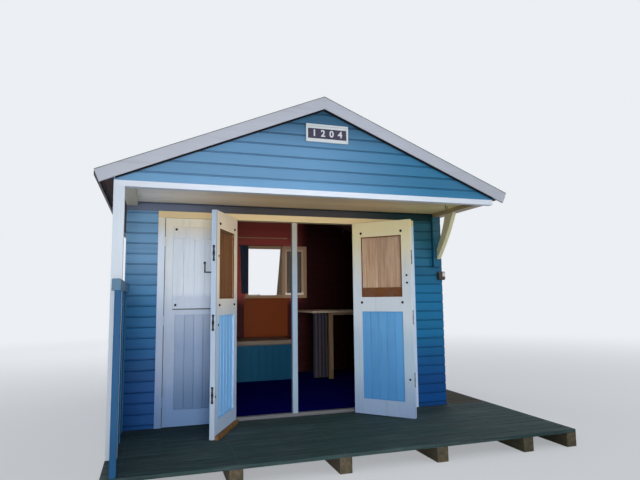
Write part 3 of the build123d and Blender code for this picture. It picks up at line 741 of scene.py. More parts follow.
def shutterFront():
    (first, last), foot, head = shutterEnds, leaf["shutterFoot"], leaf["shutterHead"]
    face, margin = shutter["face"], shutter["margin"]
    parts = [upright(first, last, face, foot, head, forward, shutter["back"] - face, shutter["boards"],
                     "shutterWhite", 76, 0.0003, **frontJoint)]
    for z in (foot, head - shutter["ledge"]):
        parts.append(block("ledge", (first, shutter["proud"], z),
                           (last, face + hair, z + shutter["ledge"]), "shutterWhite", 0.003))
    # a near-black strip under the shutter's foot ledge, a painted shadow
    parts.append(block("shadowStrip", (first + margin, face - 0.002, foot - shutter["shadowStrip"]),
                       (last - margin, -hair, foot - 0.0001), "packingBlack", 0.001))
    return joined("shutter", parts)


def shutterRear(surface, folded):
    # what shows through the glass from indoors: bare boards, with a batten along the foot on three of them
    margin, foot = shutter["margin"], leaf["windowFoot"] + 0.001
    boards = upright(shutterEnds[0] + margin, shutterEnds[1] - margin, -seat, leaf["shutterFoot"] + margin,
                     leaf["shutterHead"] - margin, through, -seat - shutter["back"] - 0.0001,
                     shutter["boards"], surface, 78, 0.0002)
    if folded:
        others = [block("reveal", (x, seat, foot),
                        (x + shutter["reveal"], shutter["revealBack"], leaf["windowHead"] - 0.001),
                        surface, 0.0004)
                  for x in (openingLow + seat, openingHigh - seat - shutter["reveal"])]
    else:
        others = [block("batten", (openingLow + 0.001, 0.0001, foot),
                        (openingHigh - 0.001, shutter["batten"], foot + shutter["battenHeight"]),
                        "battenOrange", 0.002)]
    return joined("rear", [boards] + others)


# what each leaf shows indoors: its panel, shutter, window beads and panel beads; the inner leaves' dark
# window beads are a painted shadow round the pane
leafInside = {"outerLeft": ("panelBlue", "shutterBackDark", "leafWhite", "leafWhite"),
              "innerLeft": ("panelBlueFolded", "shutterBackDark", "shutterBackDark", "panelBlueFolded"),
              "innerRight": ("panelBlue", "shutterBack", "shutterBackDark", "panelBlue"),
              "outerRight": ("panelBlue", "shutterBack", "leafWhite", "leafWhite")}
glazing = {"width": 0.010, "front": 0.0321, "back": 0.0425, "panelFront": 0.0290, "panelBack": 0.0365,
           "panelWidth": 0.008}
piece("door_panel_boards", [hang(name, lowerPanel(leafInside[name][0])) for name in hung], "pale_blue_paint",
      "door_panels")
piece("door_shutter_boards", [hang(name, shutterFront()) for name in hung], "white_paint", "door_shutters")
piece("shutter_inner_faces", [hang(name, shutterRear(leafInside[name][1], name == "innerLeft"))
                              for name in hung], "inner_timber")
beads = []
for name in hung:
    beads += [hang(name, bead(openingLow, openingHigh, leaf["windowFoot"], leaf["windowHead"],
                              glazing["front"], glazing["back"], glazing["width"], leafInside[name][2])),
              hang(name, bead(openingLow, openingHigh, leaf["panelFoot"] - seat, leaf["panelHead"] + seat,
                              glazing["panelFront"], glazing["panelBack"], glazing["panelWidth"],
                              leafInside[name][3]))]
piece("glazing_beads", beads, "white_paint")

print("door ironwork")
bolt = {"places": ((0.102, 1.868), (0.552, 1.868), (0.102, 1.136), (0.552, 1.136)),
        "head": ((0.012, 0), (0.012, -0.0008), (0.0072, -0.0036), (0.004, -0.0056), (0.0002, -0.0062)),
        "washer": ((0.0135, 0), (0.0135, 0.0016), (0.0120, 0.0022), (0.004, 0.0022)),
        "nut": ((0.0098, 0.0022), (0.0105, 0.0030), (0.0105, 0.0074), (0.0094, 0.0084), (0.004, 0.0084)),
        "thread": ((0.0039, 0.0078), (0.0039, 0.0120), (0.0030, 0.0130))}


def shutterBolts():
    # a domed head on the shutter; a washer, nut and thread end on the inner face
    return joined("bolts", [
        lathe(part, bolt[part], (x, y, z), through, "blackIron", steps) for x, z in bolt["places"]
        for part, y, steps in (("head", shutter["proud"], 14), ("washer", leaf["thickness"], 16),
                               ("nut", leaf["thickness"], 6), ("thread", leaf["thickness"], 10))])


piece("shutter_bolts", [hang(name, shutterBolts()) for name in hung], "dark_iron")

strap = {"half": 0.071, "wide": 0.011, "waist": 0.006, "thickness": 0.0025, "places": (1.594, 0.986, 0.370),
         "steps": 28, "flare": 0.8, "tip": 0.6, "screws": (-0.052, -0.018, 0.018, 0.052),
         "screw": ((0.0036, 0), (0.0034, 0.0008), (0.0012, 0.0012))}


def boneOutline():
    # a strap that widens at both ends and in the middle, as (through, up) points from its centre
    half, steps = strap["half"], strap["steps"]
    side = []
    for step in range(steps + 1):
        rise = -half + 2 * half * step / steps
        spread = abs(math.cos(rise / half * math.pi)) ** strap["flare"]
        reach = strap["waist"] + (strap["wide"] - strap["waist"]) * spread
        side.append((reach * (strap["tip"] if step in (0, steps) else 1), rise))
    return side + [(-reach, rise) for reach, rise in reversed(side)]


def edgeStraps():
    middle, thickness = leaf["thickness"] / 2, strap["thickness"]
    parts = []
    for z in strap["places"]:
        parts.append(prism("plate", [(leafEnd, middle + t, z + rise) for t, rise in boneOutline()],
                           (0, 0, 0), (thickness, 0, 0), "blackIron", 0.0005))
        parts += [lathe("screw", strap["screw"], (leafEnd + thickness, middle, z + rise), along,
                        "zincSteel", 10) for rise in strap["screws"]]
    return joined("straps", parts)


piece("folding_edge_straps", [hang(name, edgeStraps()) for name in ("innerLeft", "innerRight")], "dark_iron")

flap = {"width": 0.024, "height": 0.090, "thickness": 0.0016, "heights": (0.230, 0.990, 1.750),
        "gap": 0.0055, "screws": (0.2, 0.5, 0.8), "screw": ((0.0038, 0), (0.0035, 0.0009), (0.0012, 0.0013))}
face, flaps = leaf["front"] - flap["thickness"], []
# the flaps each side of every knuckle on the closed faces
for name, sides in (("outerLeft", (1, -1)), ("outerRight", (1, -1)),
                    ("innerLeft", (-1,)), ("innerRight", (1,))):
    for side in sides:
        for rise in flap["heights"]:
            x0, x1 = [hung[name][0] + side * (flap["gap"] + reach) for reach in (0, flap["width"])]
            z0 = leaf["floor"] + rise - flap["height"] / 2
            flaps.append(block("flap", (min(x0, x1), face, z0),
                               (max(x0, x1), leaf["front"], z0 + flap["height"]), "leafWhite", 0.0005))
            flaps += [lathe("screw", flap["screw"], ((x0 + x1) / 2, face, z0 + share * flap["height"]),
                            forward, "leafWhite", 10) for share in flap["screws"]]
piece("hinge_leaves", flaps, "white_paint")

pull = {"x": 0.3750, "foot": 1.452, "head": 1.556, "reach": 0.085, "bar": 0.0065, "stand": 0.030,
        "end": 0.012, "rose": ((0.013, 0), (0.013, 0.002), (0.010, 0.004), (0.005, 0.004))}


def pullHandle():
    # a bent iron bar on the outer left leaf: a short upright and a foot that turns to the right
    face, r, x, stand = shutter["face"], pull["bar"], pull["x"], pull["stand"]
    foot, head, reach = pull["foot"], pull["head"], pull["reach"]
    parts = [block("upright", (x - r, face - stand, foot - r), (x + r, face - stand + 2 * r, head),
                   "blackIron", 0.002),
             block("foot", (x + r, face - stand, foot - r), (x + reach, face - stand + 2 * r, foot + r),
                   "blackIron", 0.002)]
    for place in ((x, face, head - pull["end"]), (x + reach - pull["end"], face, foot)):
        parts += [lathe("stud", ((0.0055, 0), (0.0055, stand - 2 * r), (0.0045, stand - r)), place, forward,
                        "blackIron", 12),
                  lathe("rose", pull["rose"], place, forward, "blackIron", 16)]
    return hang("outerLeft", joined("pull_handle", parts))


placed(pullHandle(), "dark_iron")

# small dark keyhole roses on the folded leaves' inner faces
keys = {"innerRight": ((0.603, 1.410), (0.606, 1.334), (0.611, 0.372)),
        "innerLeft": ((0.575, 1.574), (0.636, 0.356), (0.572, 0.962))}
keyRose = ((0.0110, 0), (0.0110, 0.0015), (0.0085, 0.0030), (0.0040, 0.0030), (0.0030, 0.0012))
piece("key_roses", [hang(name, lathe("rose", keyRose, (x, leaf["thickness"], z), through, "blackIron", 14))
                    for name, places in keys.items() for x, z in places], "dark_iron")

print("roof")
skin = {"thickness": 0.022, "boards": 0.0155, "sheet": 0.0030, "lap": 0.080, "boardWidth": 0.125,
        "seam": 0.0003, "split": 1.05, "vee": 0.003}
nailing = {"nail": ((0.0055, 0), (0.0052, 0.0009), (0.0018, 0.0012)), "end": 0.035, "count": 54,
           "split": 0.018, "eaves": 0.030, "ridge": 0.020}
slope, lean = math.tan(roofPitch), math.cos(roofPitch)
roofFront, roofBack = [corner.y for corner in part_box("roof_left")]
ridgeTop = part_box("roof_left")[1].z
skinSeam, boardsTop = skin["seam"], skin["thickness"] - skin["boards"]
sheetTop = boardsTop - skin["sheet"]


def slopePoint(side, x, depth, y=0.0):
    # a point at a distance x from the ridge line and a depth under the roof's upper face
    return Vector((side * x, y, ridgeTop - x * slope - depth / lean))


def slopeSlab(side, x0, x1, over, under, y0, y1, surface, vee=0.0):
    corners = [(x0, over), (x1, over), (x1, under - vee)]
    corners += [(x1 - vee, under), (x0 + vee, under), (x0, under - vee)] if vee else [(x0, under)]
    return prism("slab", [slopePoint(side, x, depth) for x, depth in corners], (0, y0, 0), (0, y1 - y0, 0),
                 surface)


def roofSlope(side, edge, y0, y1):
    # close boards whose underside shows at the eaves, and two felt sheets, the upper lapped over the lower
    parts = []
    for row in range(math.ceil(edge / skin["boardWidth"])):
        x0 = row * skin["boardWidth"] + skinSeam
        x1 = min(x0 + skin["boardWidth"] - 2 * skinSeam, edge)
        parts.append(slopeSlab(side, x0, x1, boardsTop, skin["thickness"], y0, y1,
                               "boardBrown", skin["vee"]))
    split, under = skin["split"], boardsTop - 0.0001
    return parts + [
        slopeSlab(side, split - skin["lap"], edge, sheetTop, under, y0, y1, "roofGrey"),
        slopeSlab(side, skinSeam, split, 0.0, sheetTop - 0.0001, y0, y1, "roofGrey"),
        slopeSlab(side, 2 * skinSeam, split - skin["lap"] - skinSeam, sheetTop, under,
                  y0 + 0.001, y1 - 0.001, "roofGrey")]


def nailRow(side, x, depth):
    # flat-headed clout nails along the roof
    nail = lathe("nail", nailing["nail"], slopePoint(side, x, depth, roofFront + nailing["end"]),
                 Vector((side * slope, 0, 1)).normalized(), "zincSteel", 9)
    step = (roofBack - roofFront - 2 * nailing["end"]) / (nailing["count"] - 1)
    return repeat(nail, nailing["count"], (0, step, 0), 81, (0, 0.008, 0))


nails = []
for node, side in (("roof_left", -1), ("roof_right", 1)):
    low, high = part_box(node)
    edge = max(abs(low.x), abs(high.x))
    piece("felt_" + node, roofSlope(side, edge, low.y, high.y), "roof_felt", node)
    nails += [nailRow(side, skin["split"] - nailing["split"], 0),
              nailRow(side, edge - nailing["eaves"], sheetTop),
              nailRow(side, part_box("ridge_cap")[1].x - nailing["ridge"], -0.0030)]
piece("clout_nails", nails, "roof_felt")

barge = {"drop": 0.005, "skin": 0.0028, "width": 0.107, "strip": 0.014, "inset": 0.004, "end": 0.010}
folds = []
for node in ("front_barge_left", "front_barge_right", "back_barge_left", "back_barge_right"):
    # felt turned down over the barge board's top edge
    side, out = -1 if node.endswith("left") else 1, -1 if node.startswith("front") else 1
    low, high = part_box(node)
    face = low.y if out < 0 else high.y
    y0, y1 = sorted((face, face + out * barge["skin"]))
    folds.append(slopeSlab(side, 0.0008, max(abs(low.x), abs(high.x)) - barge["inset"], 0.0003,
                           barge["drop"], y0, y1, "roofGrey"))
piece("felt_folds", folds, "roof_felt")

# a near-black strip under the front barge board, a painted shadow cast by the barge
low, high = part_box("canopy_gable")
piece("barge_packing", [
    slopeSlab(side, 0.0004, high.x - barge["end"], barge["width"] + 0.0003, barge["width"] + barge["strip"],
              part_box("front_barge_left")[0].y + 0.003, low.y - hair, "packingBlack") for side in (-1, 1)],
      "eaves_paint")

print("side screen")
screen = {"rows": 11, "board": 0.011, "stile": 0.055, "stileDepth": 0.0088, "gap": 0.004, "round": 0.002,
          "long": 0.6, "nail": ((0.0045, 0), (0.0040, 0.0008), (0.0014, 0.0010))}


def gapSection(pitch, thickness, gap, edge):      # boards laid with open joints, rounded on the face
    return [(0, edge), (0, pitch - gap - edge), (edge, pitch - gap), (thickness, pitch - gap),
            (thickness, 0), (edge, 0)]


for node in ("screen_back", "screen_front"):
    # level boards with open joints on the outside and flat stiles on the inner face
    low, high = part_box(node)
    pitch = (high.z - low.z + screen["gap"]) / screen["rows"]
    inner, width = high.x - screen["stileDepth"], screen["stile"]
    parts = [profileBoards("boards", gapSection(pitch, screen["board"], screen["gap"], screen["round"]),
                           (inner, low.y, low.z), (0, high.y - low.y, 0), up, right, screen["rows"], pitch,
                           "screenBlue", 91)]
    places = [low.y, high.y - width]
    if high.y - low.y > screen["long"]:
        places.append((low.y + high.y - width) / 2)
    for y in places:
        nail = lathe("nail", screen["nail"], (high.x, y + width / 2, low.z + pitch * 0.5),
                     right, "blackIron", 9)
        parts += [block("stile", (inner + 0.0001, y, low.z), (high.x, y + width, high.z),
                        "stileBlue", 0.002),
                  repeat(nail, screen["rows"], (0, 0, pitch), 92, (0, 0.003, 0.003))]
    piece("boards_" + node, parts, "screen_paint", node)

placed(block("screen_post", *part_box("screen_end_post"), "endPostBlue", 0.004), "pale_blue_paint",
       "screen_end_post")

rail = {"cap": 0.006, "groove": 0.004, "lines": (0.22, 0.60)}


def screenRail(y0, y1, low, high):
    # a capped rail with two scored lines along both faces
    sides = []
    for x, inward in ((high.x, -1), (low.x, 1)):
        side = [(x, low.z)]
        for share in rail["lines"]:
            z = low.z + share * (high.z - low.z)
            side += [(x, z - rail["groove"] / 2), (x + inward * rail["groove"], z),
                     (x, z + rail["groove"] / 2)]
        sides.append(side + [(x, high.z - rail["cap"]), (x + inward * rail["cap"], high.z)])
    return prism("rail", [(x, y0, z) for x, z in sides[0] + sides[1][::-1]], (0, 0, 0), (0, y1 - y0, 0),
                 "railBlue")


low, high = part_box("screen_rails")
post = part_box("canopy_post")
piece("screen_rail_timbers", [screenRail(low.y, post[0].y, low, high),
                              screenRail(post[1].y, high.y, low, high)],
      "pale_blue_paint", "screen_rails")

print("sign, lamp and hook")
sign = {"board": 0.008, "frame": 0.016, "width": 0.364, "height": 0.092, "foot": 0.033, "plate": 0.0025,
        "number": "1204", "size": 0.084, "letter": 0.0016, "spacing": 1.95, "weight": 0.0022,
        "margin": 0.002, "screwIn": 0.008, "screw": ((0.004, 0), (0.0037, 0.0010), (0.0014, 0.0014))}


def raisedNumber(centre):
    # figures that stand up and face the front
    curve = bpy.data.curves.new("figures", "FONT")
    curve.body, curve.size, curve.extrude = sign["number"], sign["size"], sign["letter"] / 2
    curve.space_character, curve.align_x, curve.align_y = sign["spacing"], "CENTER", "CENTER"
    curve.offset, curve.resolution_u = sign["weight"], 4
    source = addObject("figures", curve)
    mesh = bpy.data.meshes.new_from_object(source.evaluated_get(bpy.context.evaluated_depsgraph_get()))
    bpy.data.objects.remove(source)
    mesh.transform(Matrix.Translation(centre) @ Matrix.Rotation(math.radians(90), 4, "X"))
    mesh.materials.clear()
    mesh.materials.append(bpy.data.materials["signWhite"])
    return tidied(addObject("figures", mesh))


low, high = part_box("sign_board")
margin, middle, half = sign["margin"], (low.x + high.x) / 2, sign["width"] / 2
foot, rear = low.z + sign["foot"], high.y - sign["board"]
face, centre = rear - sign["plate"], foot + sign["height"] / 2
piece("sign", [
    block("backing", (low.x + margin, rear, low.z + margin), (high.x - margin, high.y, high.z - margin),
          "signWhite", 0.001),
    bead(low.x, high.x, low.z, high.z, low.y, high.y, sign["frame"], "signWhite"),
    block("plate", (middle - half, face, foot), (middle + half, rear, foot + sign["height"]),
          "signPlum", 0.0008),
    raisedNumber((middle, face - sign["letter"] / 2, centre)),
    *[lathe("screw", sign["screw"], (middle + side * (half - sign["screwIn"]), face, centre), forward,
            "zincSteel", 10) for side in (-1, 1)]], "sign_paint", "sign_board")

# a small bulkhead lamp: wall plate, ribbed body and a hooded lens on its right
lamp = {"plate": 0.006, "body": 0.034, "inset": 0.005, "rib": 0.004, "ribs": 6, "ribPitch": 0.012,
        "ribHeight": 0.005, "ribLow": 0.014, "ribRight": 0.44, "lensLeft": 0.52, "lensFoot": 0.40,
        "lens": 0.007, "hood": 0.003}
low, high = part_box("corner_lamp")
inset, face, plateFace = lamp["inset"], high.y - lamp["body"], high.y - lamp["plate"]
width, height = high.x - low.x, high.z - low.z
x0, x1 = low.x + lamp["lensLeft"] * width, high.x - 2 * inset
z0, z1 = low.z + lamp["lensFoot"] * height, high.z - 2 * inset
rib = block("rib", (low.x + 2 * inset, face - lamp["rib"], low.z + lamp["ribLow"]),
            (low.x + lamp["ribRight"] * width, face, low.z + lamp["ribLow"] + lamp["ribHeight"]),
            "lampBrown", 0.001)
piece("bulkhead_lamp", [
    block("plate", (low.x, plateFace, low.z), high, "lampBrown", 0.002),
    block("body", (low.x + inset, face, low.z + inset), (high.x - inset, plateFace, high.z - inset),
          "lampBrown", 0.006),
    block("lens", (x0, face - lamp["lens"], z0), (x1, face, z1), "lensPale", 0.003),
    prism("hood", [(x0 - lamp["hood"], y, z1 + rise) for y, rise in
                   ((low.y, 0.001), (face, 0.001), (face, 0.006), (low.y, 0.004))], (0, 0, 0),
          (x1 - x0 + 2 * lamp["hood"], 0, 0), "lampBrown", 0.0008),
    repeat(rib, lamp["ribs"], (0, 0, lamp["ribPitch"]), 95)], "lamp_body", "corner_lamp")

hook = {"place": (1.455, -0.534), "shank": 0.018, "bend": 0.011, "wire": 0.0032, "turn": 1.35, "steps": 10,
        "cup": ((0.010, 0), (0.010, 0.0015), (0.0045, 0.0055), (0.0034, 0.0070))}
(x, y), top, bend = hook["place"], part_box("soffit")[0].z, hook["bend"]
path = [(x, y, top - 0.0005), (x, y, top - hook["shank"])]
for step in range(1, hook["steps"] + 1):
    angle = math.pi * hook["turn"] * step / hook["steps"]
    path.append((x + bend * (1 - math.cos(angle)), y, top - hook["shank"] - bend * math.sin(angle)))
piece("soffit_hook", [lathe("cup", hook["cup"], (x, y, top), (0, 0, -1), "blackIron", 14),
                      bar("wire", path, hook["wire"], "blackIron")], "dark_iron")

print("bench and worktop")
bench = {"boardWidth": 0.104, "strip": 0.012, "round": 0.009, "sheetEdge": 0.012}
low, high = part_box("bench_front")
count = round((high.x - low.x) / bench["boardWidth"])
pitch = (high.x - low.x) / count
placed(profileBoards("bench_boards", matchSection(pitch, high.y - low.y), (low.x, low.y, low.z),
                     (0, 0, high.z - low.z - hair), right, forward, count, pitch, "benchTeal", 97),
       "bench_paint", "bench_front")

low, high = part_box("bench_seat")
split = low.z + bench["strip"]
piece("bench_lid", [
    block("lid", (low.x, low.y, split), high, "seatBeige", bench["round"]),
    block("strip", (low.x, low.y + 0.003, low.z), (high.x - 0.003, high.y, split - hair),
          "seatEdge", 0.002)], "bench_paint", "bench_seat")

low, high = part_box("bench_back_panel")
piece("back_panel", [
    block("sheet", (low.x, low.y + 0.001, low.z), high, "sheetOrange", 0.0005),
    block("top", (low.x, low.y - 0.006, high.z - bench["sheetEdge"]), (high.x, low.y + 0.002, high.z),
          "sheetOrange", 0.002)], "inner_timber", "bench_back_panel")

worktop = {"thickness": 0.030, "lipping": 0.020, "boards": 5, "railSet": 0.004, "shadow": 0.001}
low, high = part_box("worktop")
foot, edge = high.z - worktop["thickness"], low.y + worktop["lipping"]
pitch = (high.y - edge - hair) / worktop["boards"]
piece("worktop_boards", [
    profileBoards("top", matchSection(pitch, worktop["thickness"]), (low.x, edge + 0.0001, high.z - 0.0004),
                  (high.x - low.x, 0, 0), back, up, worktop["boards"], pitch, "worktopPale", 98),
    block("lipping", (low.x, low.y, foot), (high.x, edge, high.z), "worktopPale", 0.004),
    block("rail", (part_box("worktop_leg")[0].x, low.y + worktop["railSet"], low.z),
          (high.x, edge, foot - worktop["shadow"]), "legTimber", 0.003)], "worktop_board", "worktop")

print("back window")
window = {"ledge": 0.034, "ledgeRise": 0.012, "ledgeEnds": (-0.082, 0.642), "bead": 0.009, "proud": 0.0100,
          "rail": 2.300, "railRise": 0.014, "railOut": 0.010, "railEnds": (-0.17, 0.63)}
low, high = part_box("window_frame")
x0, x1 = window["ledgeEnds"]
placed(block("window_ledge", (x0, low.y - window["ledge"], low.z),
             (x1, low.y - hair, low.z + window["ledgeRise"]), "windowWhite", 0.003), "white_paint")
x0, x1 = window["railEnds"]
placed(block("wall_rail", (x0, low.y - window["railOut"], window["rail"]),
             (x1, low.y, window["rail"] + window["railRise"]), "windowWhite", 0.003), "white_paint")

paneLow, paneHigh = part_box("window_pane")
casementLow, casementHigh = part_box("casement_pane")
leafBeads = bead(casementLow.y, casementHigh.y, casementLow.z, casementHigh.z, 0, -window["proud"],
                 window["bead"], "windowWhite")
# the casement stands square to the wall, so its beads are turned to face along X
leafBeads.data.transform(Matrix(((0, 1, 0, casementLow.x - hair), (1, 0, 0, 0),
                                 (0, 0, 1, 0), (0, 0, 0, 1))))
leafBeads.data.flip_normals()
piece("window_beads", [bead(paneLow.x, paneHigh.x, paneLow.z, paneHigh.z, paneHigh.y + hair,
                            paneHigh.y + window["proud"], window["bead"], "windowWhite"), leafBeads],
      "white_paint")

# two butt hinges, and a stay bar from the casement's foot rail to a peg on the frame
iron = {"heights": (0.16, 0.84), "half": 0.030, "knuckle": 0.0045, "flap": (0.006, 0.028), "pegX": 0.17,
        "stay": 0.0040, "stayRise": 0.048, "stayEnd": 0.33, "stayOver": 0.006,
        "peg": ((0.009, 0), (0.009, 0.003), (0.004, 0.005), (0.004, 0.014), (0.0025, 0.016))}
frameLow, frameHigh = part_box("window_frame")
low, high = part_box("window_casement")
half, (flapFrom, flapTo), parts = iron["half"], iron["flap"], []
for share in iron["heights"]:
    z = low.z + share * (high.z - low.z)
    parts += [lathe("knuckle", ((iron["knuckle"], -half), (iron["knuckle"], half)),
                    (low.x + 0.002, low.y + 0.003, z), up, "blackIron", 12),
              block("flap", (low.x - 0.0012, low.y + flapFrom, z - half),
                    (low.x, low.y + flapTo, z + half), "blackIron", 0.0004)]
pegX, pegY, pegZ = iron["pegX"], (frameLow.y + frameHigh.y) / 2, frameLow.z + iron["stayRise"]
endX, endY, endZ = high.x + iron["stayOver"], high.y - iron["stayEnd"], pegZ + iron["stayOver"]
parts += [lathe("peg", iron["peg"], (pegX, pegY, pegZ), up, "blackIron", 12),
          bar("stay", [(endX, endY, endZ), ((endX + pegX) / 2, (endY + pegY) / 2, endZ + 0.001),
                       (pegX + 0.014, pegY - 0.020, endZ)], iron["stay"], "blackIron"),
          block("bracket", (high.x, endY - 0.012, endZ - 0.008),
                (high.x + 0.010, endY + 0.012, endZ + 0.008), "blackIron", 0.002)]
piece("casement_ironwork", parts, "dark_iron")

print("curtains")
drape = {"steps": 12, "rows": 24, "swing": 0.0135, "cloth": 0.0012, "rod": 0.0048, "rodOver": 0.016}


def curtain(name, foot, heading, z0, z1, y, folds, surface, seed, node):
    # pleats that are tight at the heading and open towards the hem; foot and heading are (left, right)
    columns = folds * drape["steps"]
    vertices, faces = [], []
    for row in range(drape["rows"] + 1):
        share = row / drape["rows"]
        left, right = [a + (b - a) * share for a, b in zip(foot, heading)]
        swing = drape["swing"] * (1 - 0.4 * share)
        for column in range(columns + 1):
            part = column / columns
            turn = 2 * math.pi * part * folds + 0.7 * math.sin(seed + 6 * part + 1.4 * share)
            depth = swing * math.sin(turn) * (0.78 + 0.22 * math.sin(1.7 * seed + 9 * part))
            slide = 0.18 / folds * math.sin(2 * turn) * (right - left)
            x = min(max(left + part * (right - left) + slide, left), right)
            vertices.append((x, y + depth, z0 + share * (z1 - z0)))
    for row in range(drape["rows"]):
        for column in range(columns):
            first = row * (columns + 1) + column
            faces.append((first, first + 1, first + columns + 2, first + columns + 1))
    made = meshObject(name, vertices, faces, surface)
    layer = made.data.uv_layers.new(name="cloth")
    flatWidth = sum(face.area for face in made.data.polygons) / (z1 - z0)
    for loop in made.data.loops:
        column = loop.vertex_index % (columns + 1)
        layer.data[loop.index].uv = (column / columns * flatWidth,
                                     made.data.vertices[loop.vertex_index].co.z)
    made.data.shade_smooth()
    thicken = made.modifiers.new("cloth", "SOLIDIFY")
    thicken.thickness, thicken.offset = drape["cloth"], 0
    placed(made, "curtain_cloth", node)
    return made, (flatWidth, z1 - z0)


low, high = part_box("worktop_curtain")
cloth, size = curtain("curtain_under_worktop", (low.x + 0.001, high.x - 0.001),
                      (low.x + 0.006, high.x - 0.010), low.z, high.z - 0.001, (low.y + high.y) / 2, 7,
                      "clothStriped", 3, "worktop_curtain")

low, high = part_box("window_curtains")
middle, heading = (low.y + high.y) / 2, high.z - 0.001
windowDrapes = {"leftWidth": 0.140, "leftDrop": 0.760, "footWidth": 0.092, "headWidth": 0.022, "folds": 3}
edge, folds = low.x + windowDrapes["leftWidth"], windowDrapes["folds"]
left, size = curtain("window_curtain_left", (low.x + 0.030, edge - 0.002), (low.x + 0.001, edge - 0.001),
                     high.z - windowDrapes["leftDrop"], heading, middle, folds, "clothNavy", 5,
                     "window_curtains")
other, size = curtain("window_curtain_right", (high.x - windowDrapes["footWidth"] + 0.001, high.x - 0.002),
                      (high.x - windowDrapes["headWidth"], high.x - 0.002), low.z + 0.001, heading, middle,
                      folds, "clothBrown", 8, "window_curtains")

rodZ, over, reach = high.z + 0.001, drape["rodOver"], high.y - middle
piece("curtain_rod", [
    bar("rod", [(low.x - over, middle, rodZ), ((low.x + high.x) / 2, middle, rodZ - 0.001),
                (high.x + over, middle, rodZ)], drape["rod"], "blackIron"),
    *[lathe("bracket", ((0.0040, 0), (0.0040, reach - 0.004), (0.0110, reach - 0.003), (0.0110, reach)),
            (x, middle, rodZ), back, "blackIron", 12) for x in (low.x - over / 2, high.x + over / 2)]],
      "dark_iron")

print("nails")
nailHead = {"radius": 0.0034, "proud": 0.0007, "rise": 0.028, "edge": 0.035, "wallGap": 0.62,
            "gableGap": 0.55, "wallClear": 0.05, "gableClear": 0.10, "windowClear": 0.02, "scatter": 0.003,
            "deck": ((0.0042, -0.001), (0.0040, 0.0003), (0.0012, 0.0004)),
            "deckLines": (-1.638, -0.819, 0.0, 0.819),
            "deckEnds": {"front_deck": 1.668, "side_walkway": 1.740},
            "walkwayEdge": 2.150, "deckShares": (0.22, 0.74)}


def nailColumn(x, y, z, out, rows, pitch, surface, seed):
    radius, proud, scatter = nailHead["radius"], nailHead["proud"], nailHead["scatter"]
    profile = ((radius, -0.001), (radius, proud * 0.4), (radius * 0.75, proud), (radius * 0.2, proud))
    nail = lathe("nail", profile, (x, y, z), out, surface, 8)
    return repeat(nail, rows, (0, 0, pitch), seed, (scatter * abs(out[1]), scatter * abs(out[0]), 0.002))


def spaced(low, high, gap):
    # even places between two edges, no further apart than the gap
    first, last = low + nailHead["edge"], high - nailHead["edge"]
    count = max(1, math.ceil((last - first) / gap))
    return list(enumerate(first + (last - first) * step / count for step in range(count + 1)))


wallNails, pitch = [], cladding["pitch"]
for node, surface in (("front_wall_left", "wallBlue"), ("front_wall_right", "wallBlueRight")):
    low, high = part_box(node)
    foot = wallBase + pitch * math.ceil((low.z - wallBase) / pitch) + nailHead["rise"]
    rows = int((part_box("soffit")[0].z - foot) / pitch) + 1
    wallNails += [nailColumn(x, low.y, foot, forward, rows, pitch, surface, 101 + index)
                  for index, x in enumerate((low.x + nailHead["edge"], high.x - nailHead["edge"]))]
for side, node in ((-1, "left_wall"), (1, "right_wall")):
    low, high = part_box(node)
    face = side * max(abs(low.x), abs(high.x))
    rows = int((roofApex - abs(face) / roofRun - low.z) / pitch)
    wallNails += [nailColumn(face, y, low.z + nailHead["rise"], (side, 0, 0), rows, pitch,
                             "sideBlue", 110 + index)
                  for index, y in spaced(low.y, high.y, nailHead["wallGap"])]
low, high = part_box("back_wall")
gapLow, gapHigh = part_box("window_frame")
for index, x in spaced(low.x, high.x, nailHead["wallGap"]):
    total = int((roofApex - abs(x) / roofRun - low.z - nailHead["wallClear"]) / pitch)
    runs = [(0, total, 120)]
    if gapLow.x - nailHead["windowClear"] < x < gapHigh.x + nailHead["windowClear"]:
        above = math.ceil((gapHigh.z - low.z) / pitch)
        runs = [(0, int((gapLow.z - low.z) / pitch), 120), (above, total - above, 130)]
    wallNails += [nailColumn(x, high.y, low.z + nailHead["rise"] + first * pitch, back, rows, pitch,
                             "backBlue", seed + index) for first, rows, seed in runs]
piece("wall_nails", wallNails, "wall_paint")

gableNails = []
low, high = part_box("canopy_gable")
pitch, foot = gableBoards["pitch"], low.z - gableBoards["firstRow"] + nailHead["rise"]
for index, x in spaced(low.x, high.x, nailHead["gableGap"]):
    rows = int((roofApex - abs(x) / roofRun - nailHead["gableClear"] - foot) / pitch) + 1
    if rows > 0:
        gableNails.append(nailColumn(x, low.y, foot, forward, rows, pitch, "gableBlue", 140 + index))
piece("gable_nails", gableNails, "gable_paint")

deck = {"gap": 0.005, "round": 0.003, "rows": {"front_deck": (11, "deckTimber", 61),
                                               "side_walkway": (25, "walkwayTimber", 66)}}
deckNails = []
for node, (rows, *_) in deck["rows"].items():
    low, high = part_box(node)
    pitch = (high.y - low.y + deck["gap"]) / rows
    lines = (*nailHead["deckLines"], nailHead["deckEnds"][node], nailHead["walkwayEdge"])
    onDeck = [(index, x) for index, x in enumerate(lines) if low.x < x < high.x]
    for index, x in onDeck:
        for share in nailHead["deckShares"]:
            nail = lathe("nail", nailHead["deck"], (x, low.y + share * pitch, high.z), up, "zincSteel", 8)
            deckNails.append(repeat(nail, rows, (0, pitch, 0), 150 + index, (0.006, 0.003, 0)))
piece("deck_nails", deckNails, "deck_timber")

print("decks")
for node, (rows, surface, seed) in deck["rows"].items():
    low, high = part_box(node)
    pitch = (high.y - low.y + deck["gap"]) / rows
    placed(profileBoards(node + "_boards", gapSection(pitch, high.z - low.z, deck["gap"], deck["round"]),
                         (low.x, low.y, high.z), (high.x - low.x, 0, 0), back, up, rows, pitch,
                         surface, seed), "deck_timber", node)

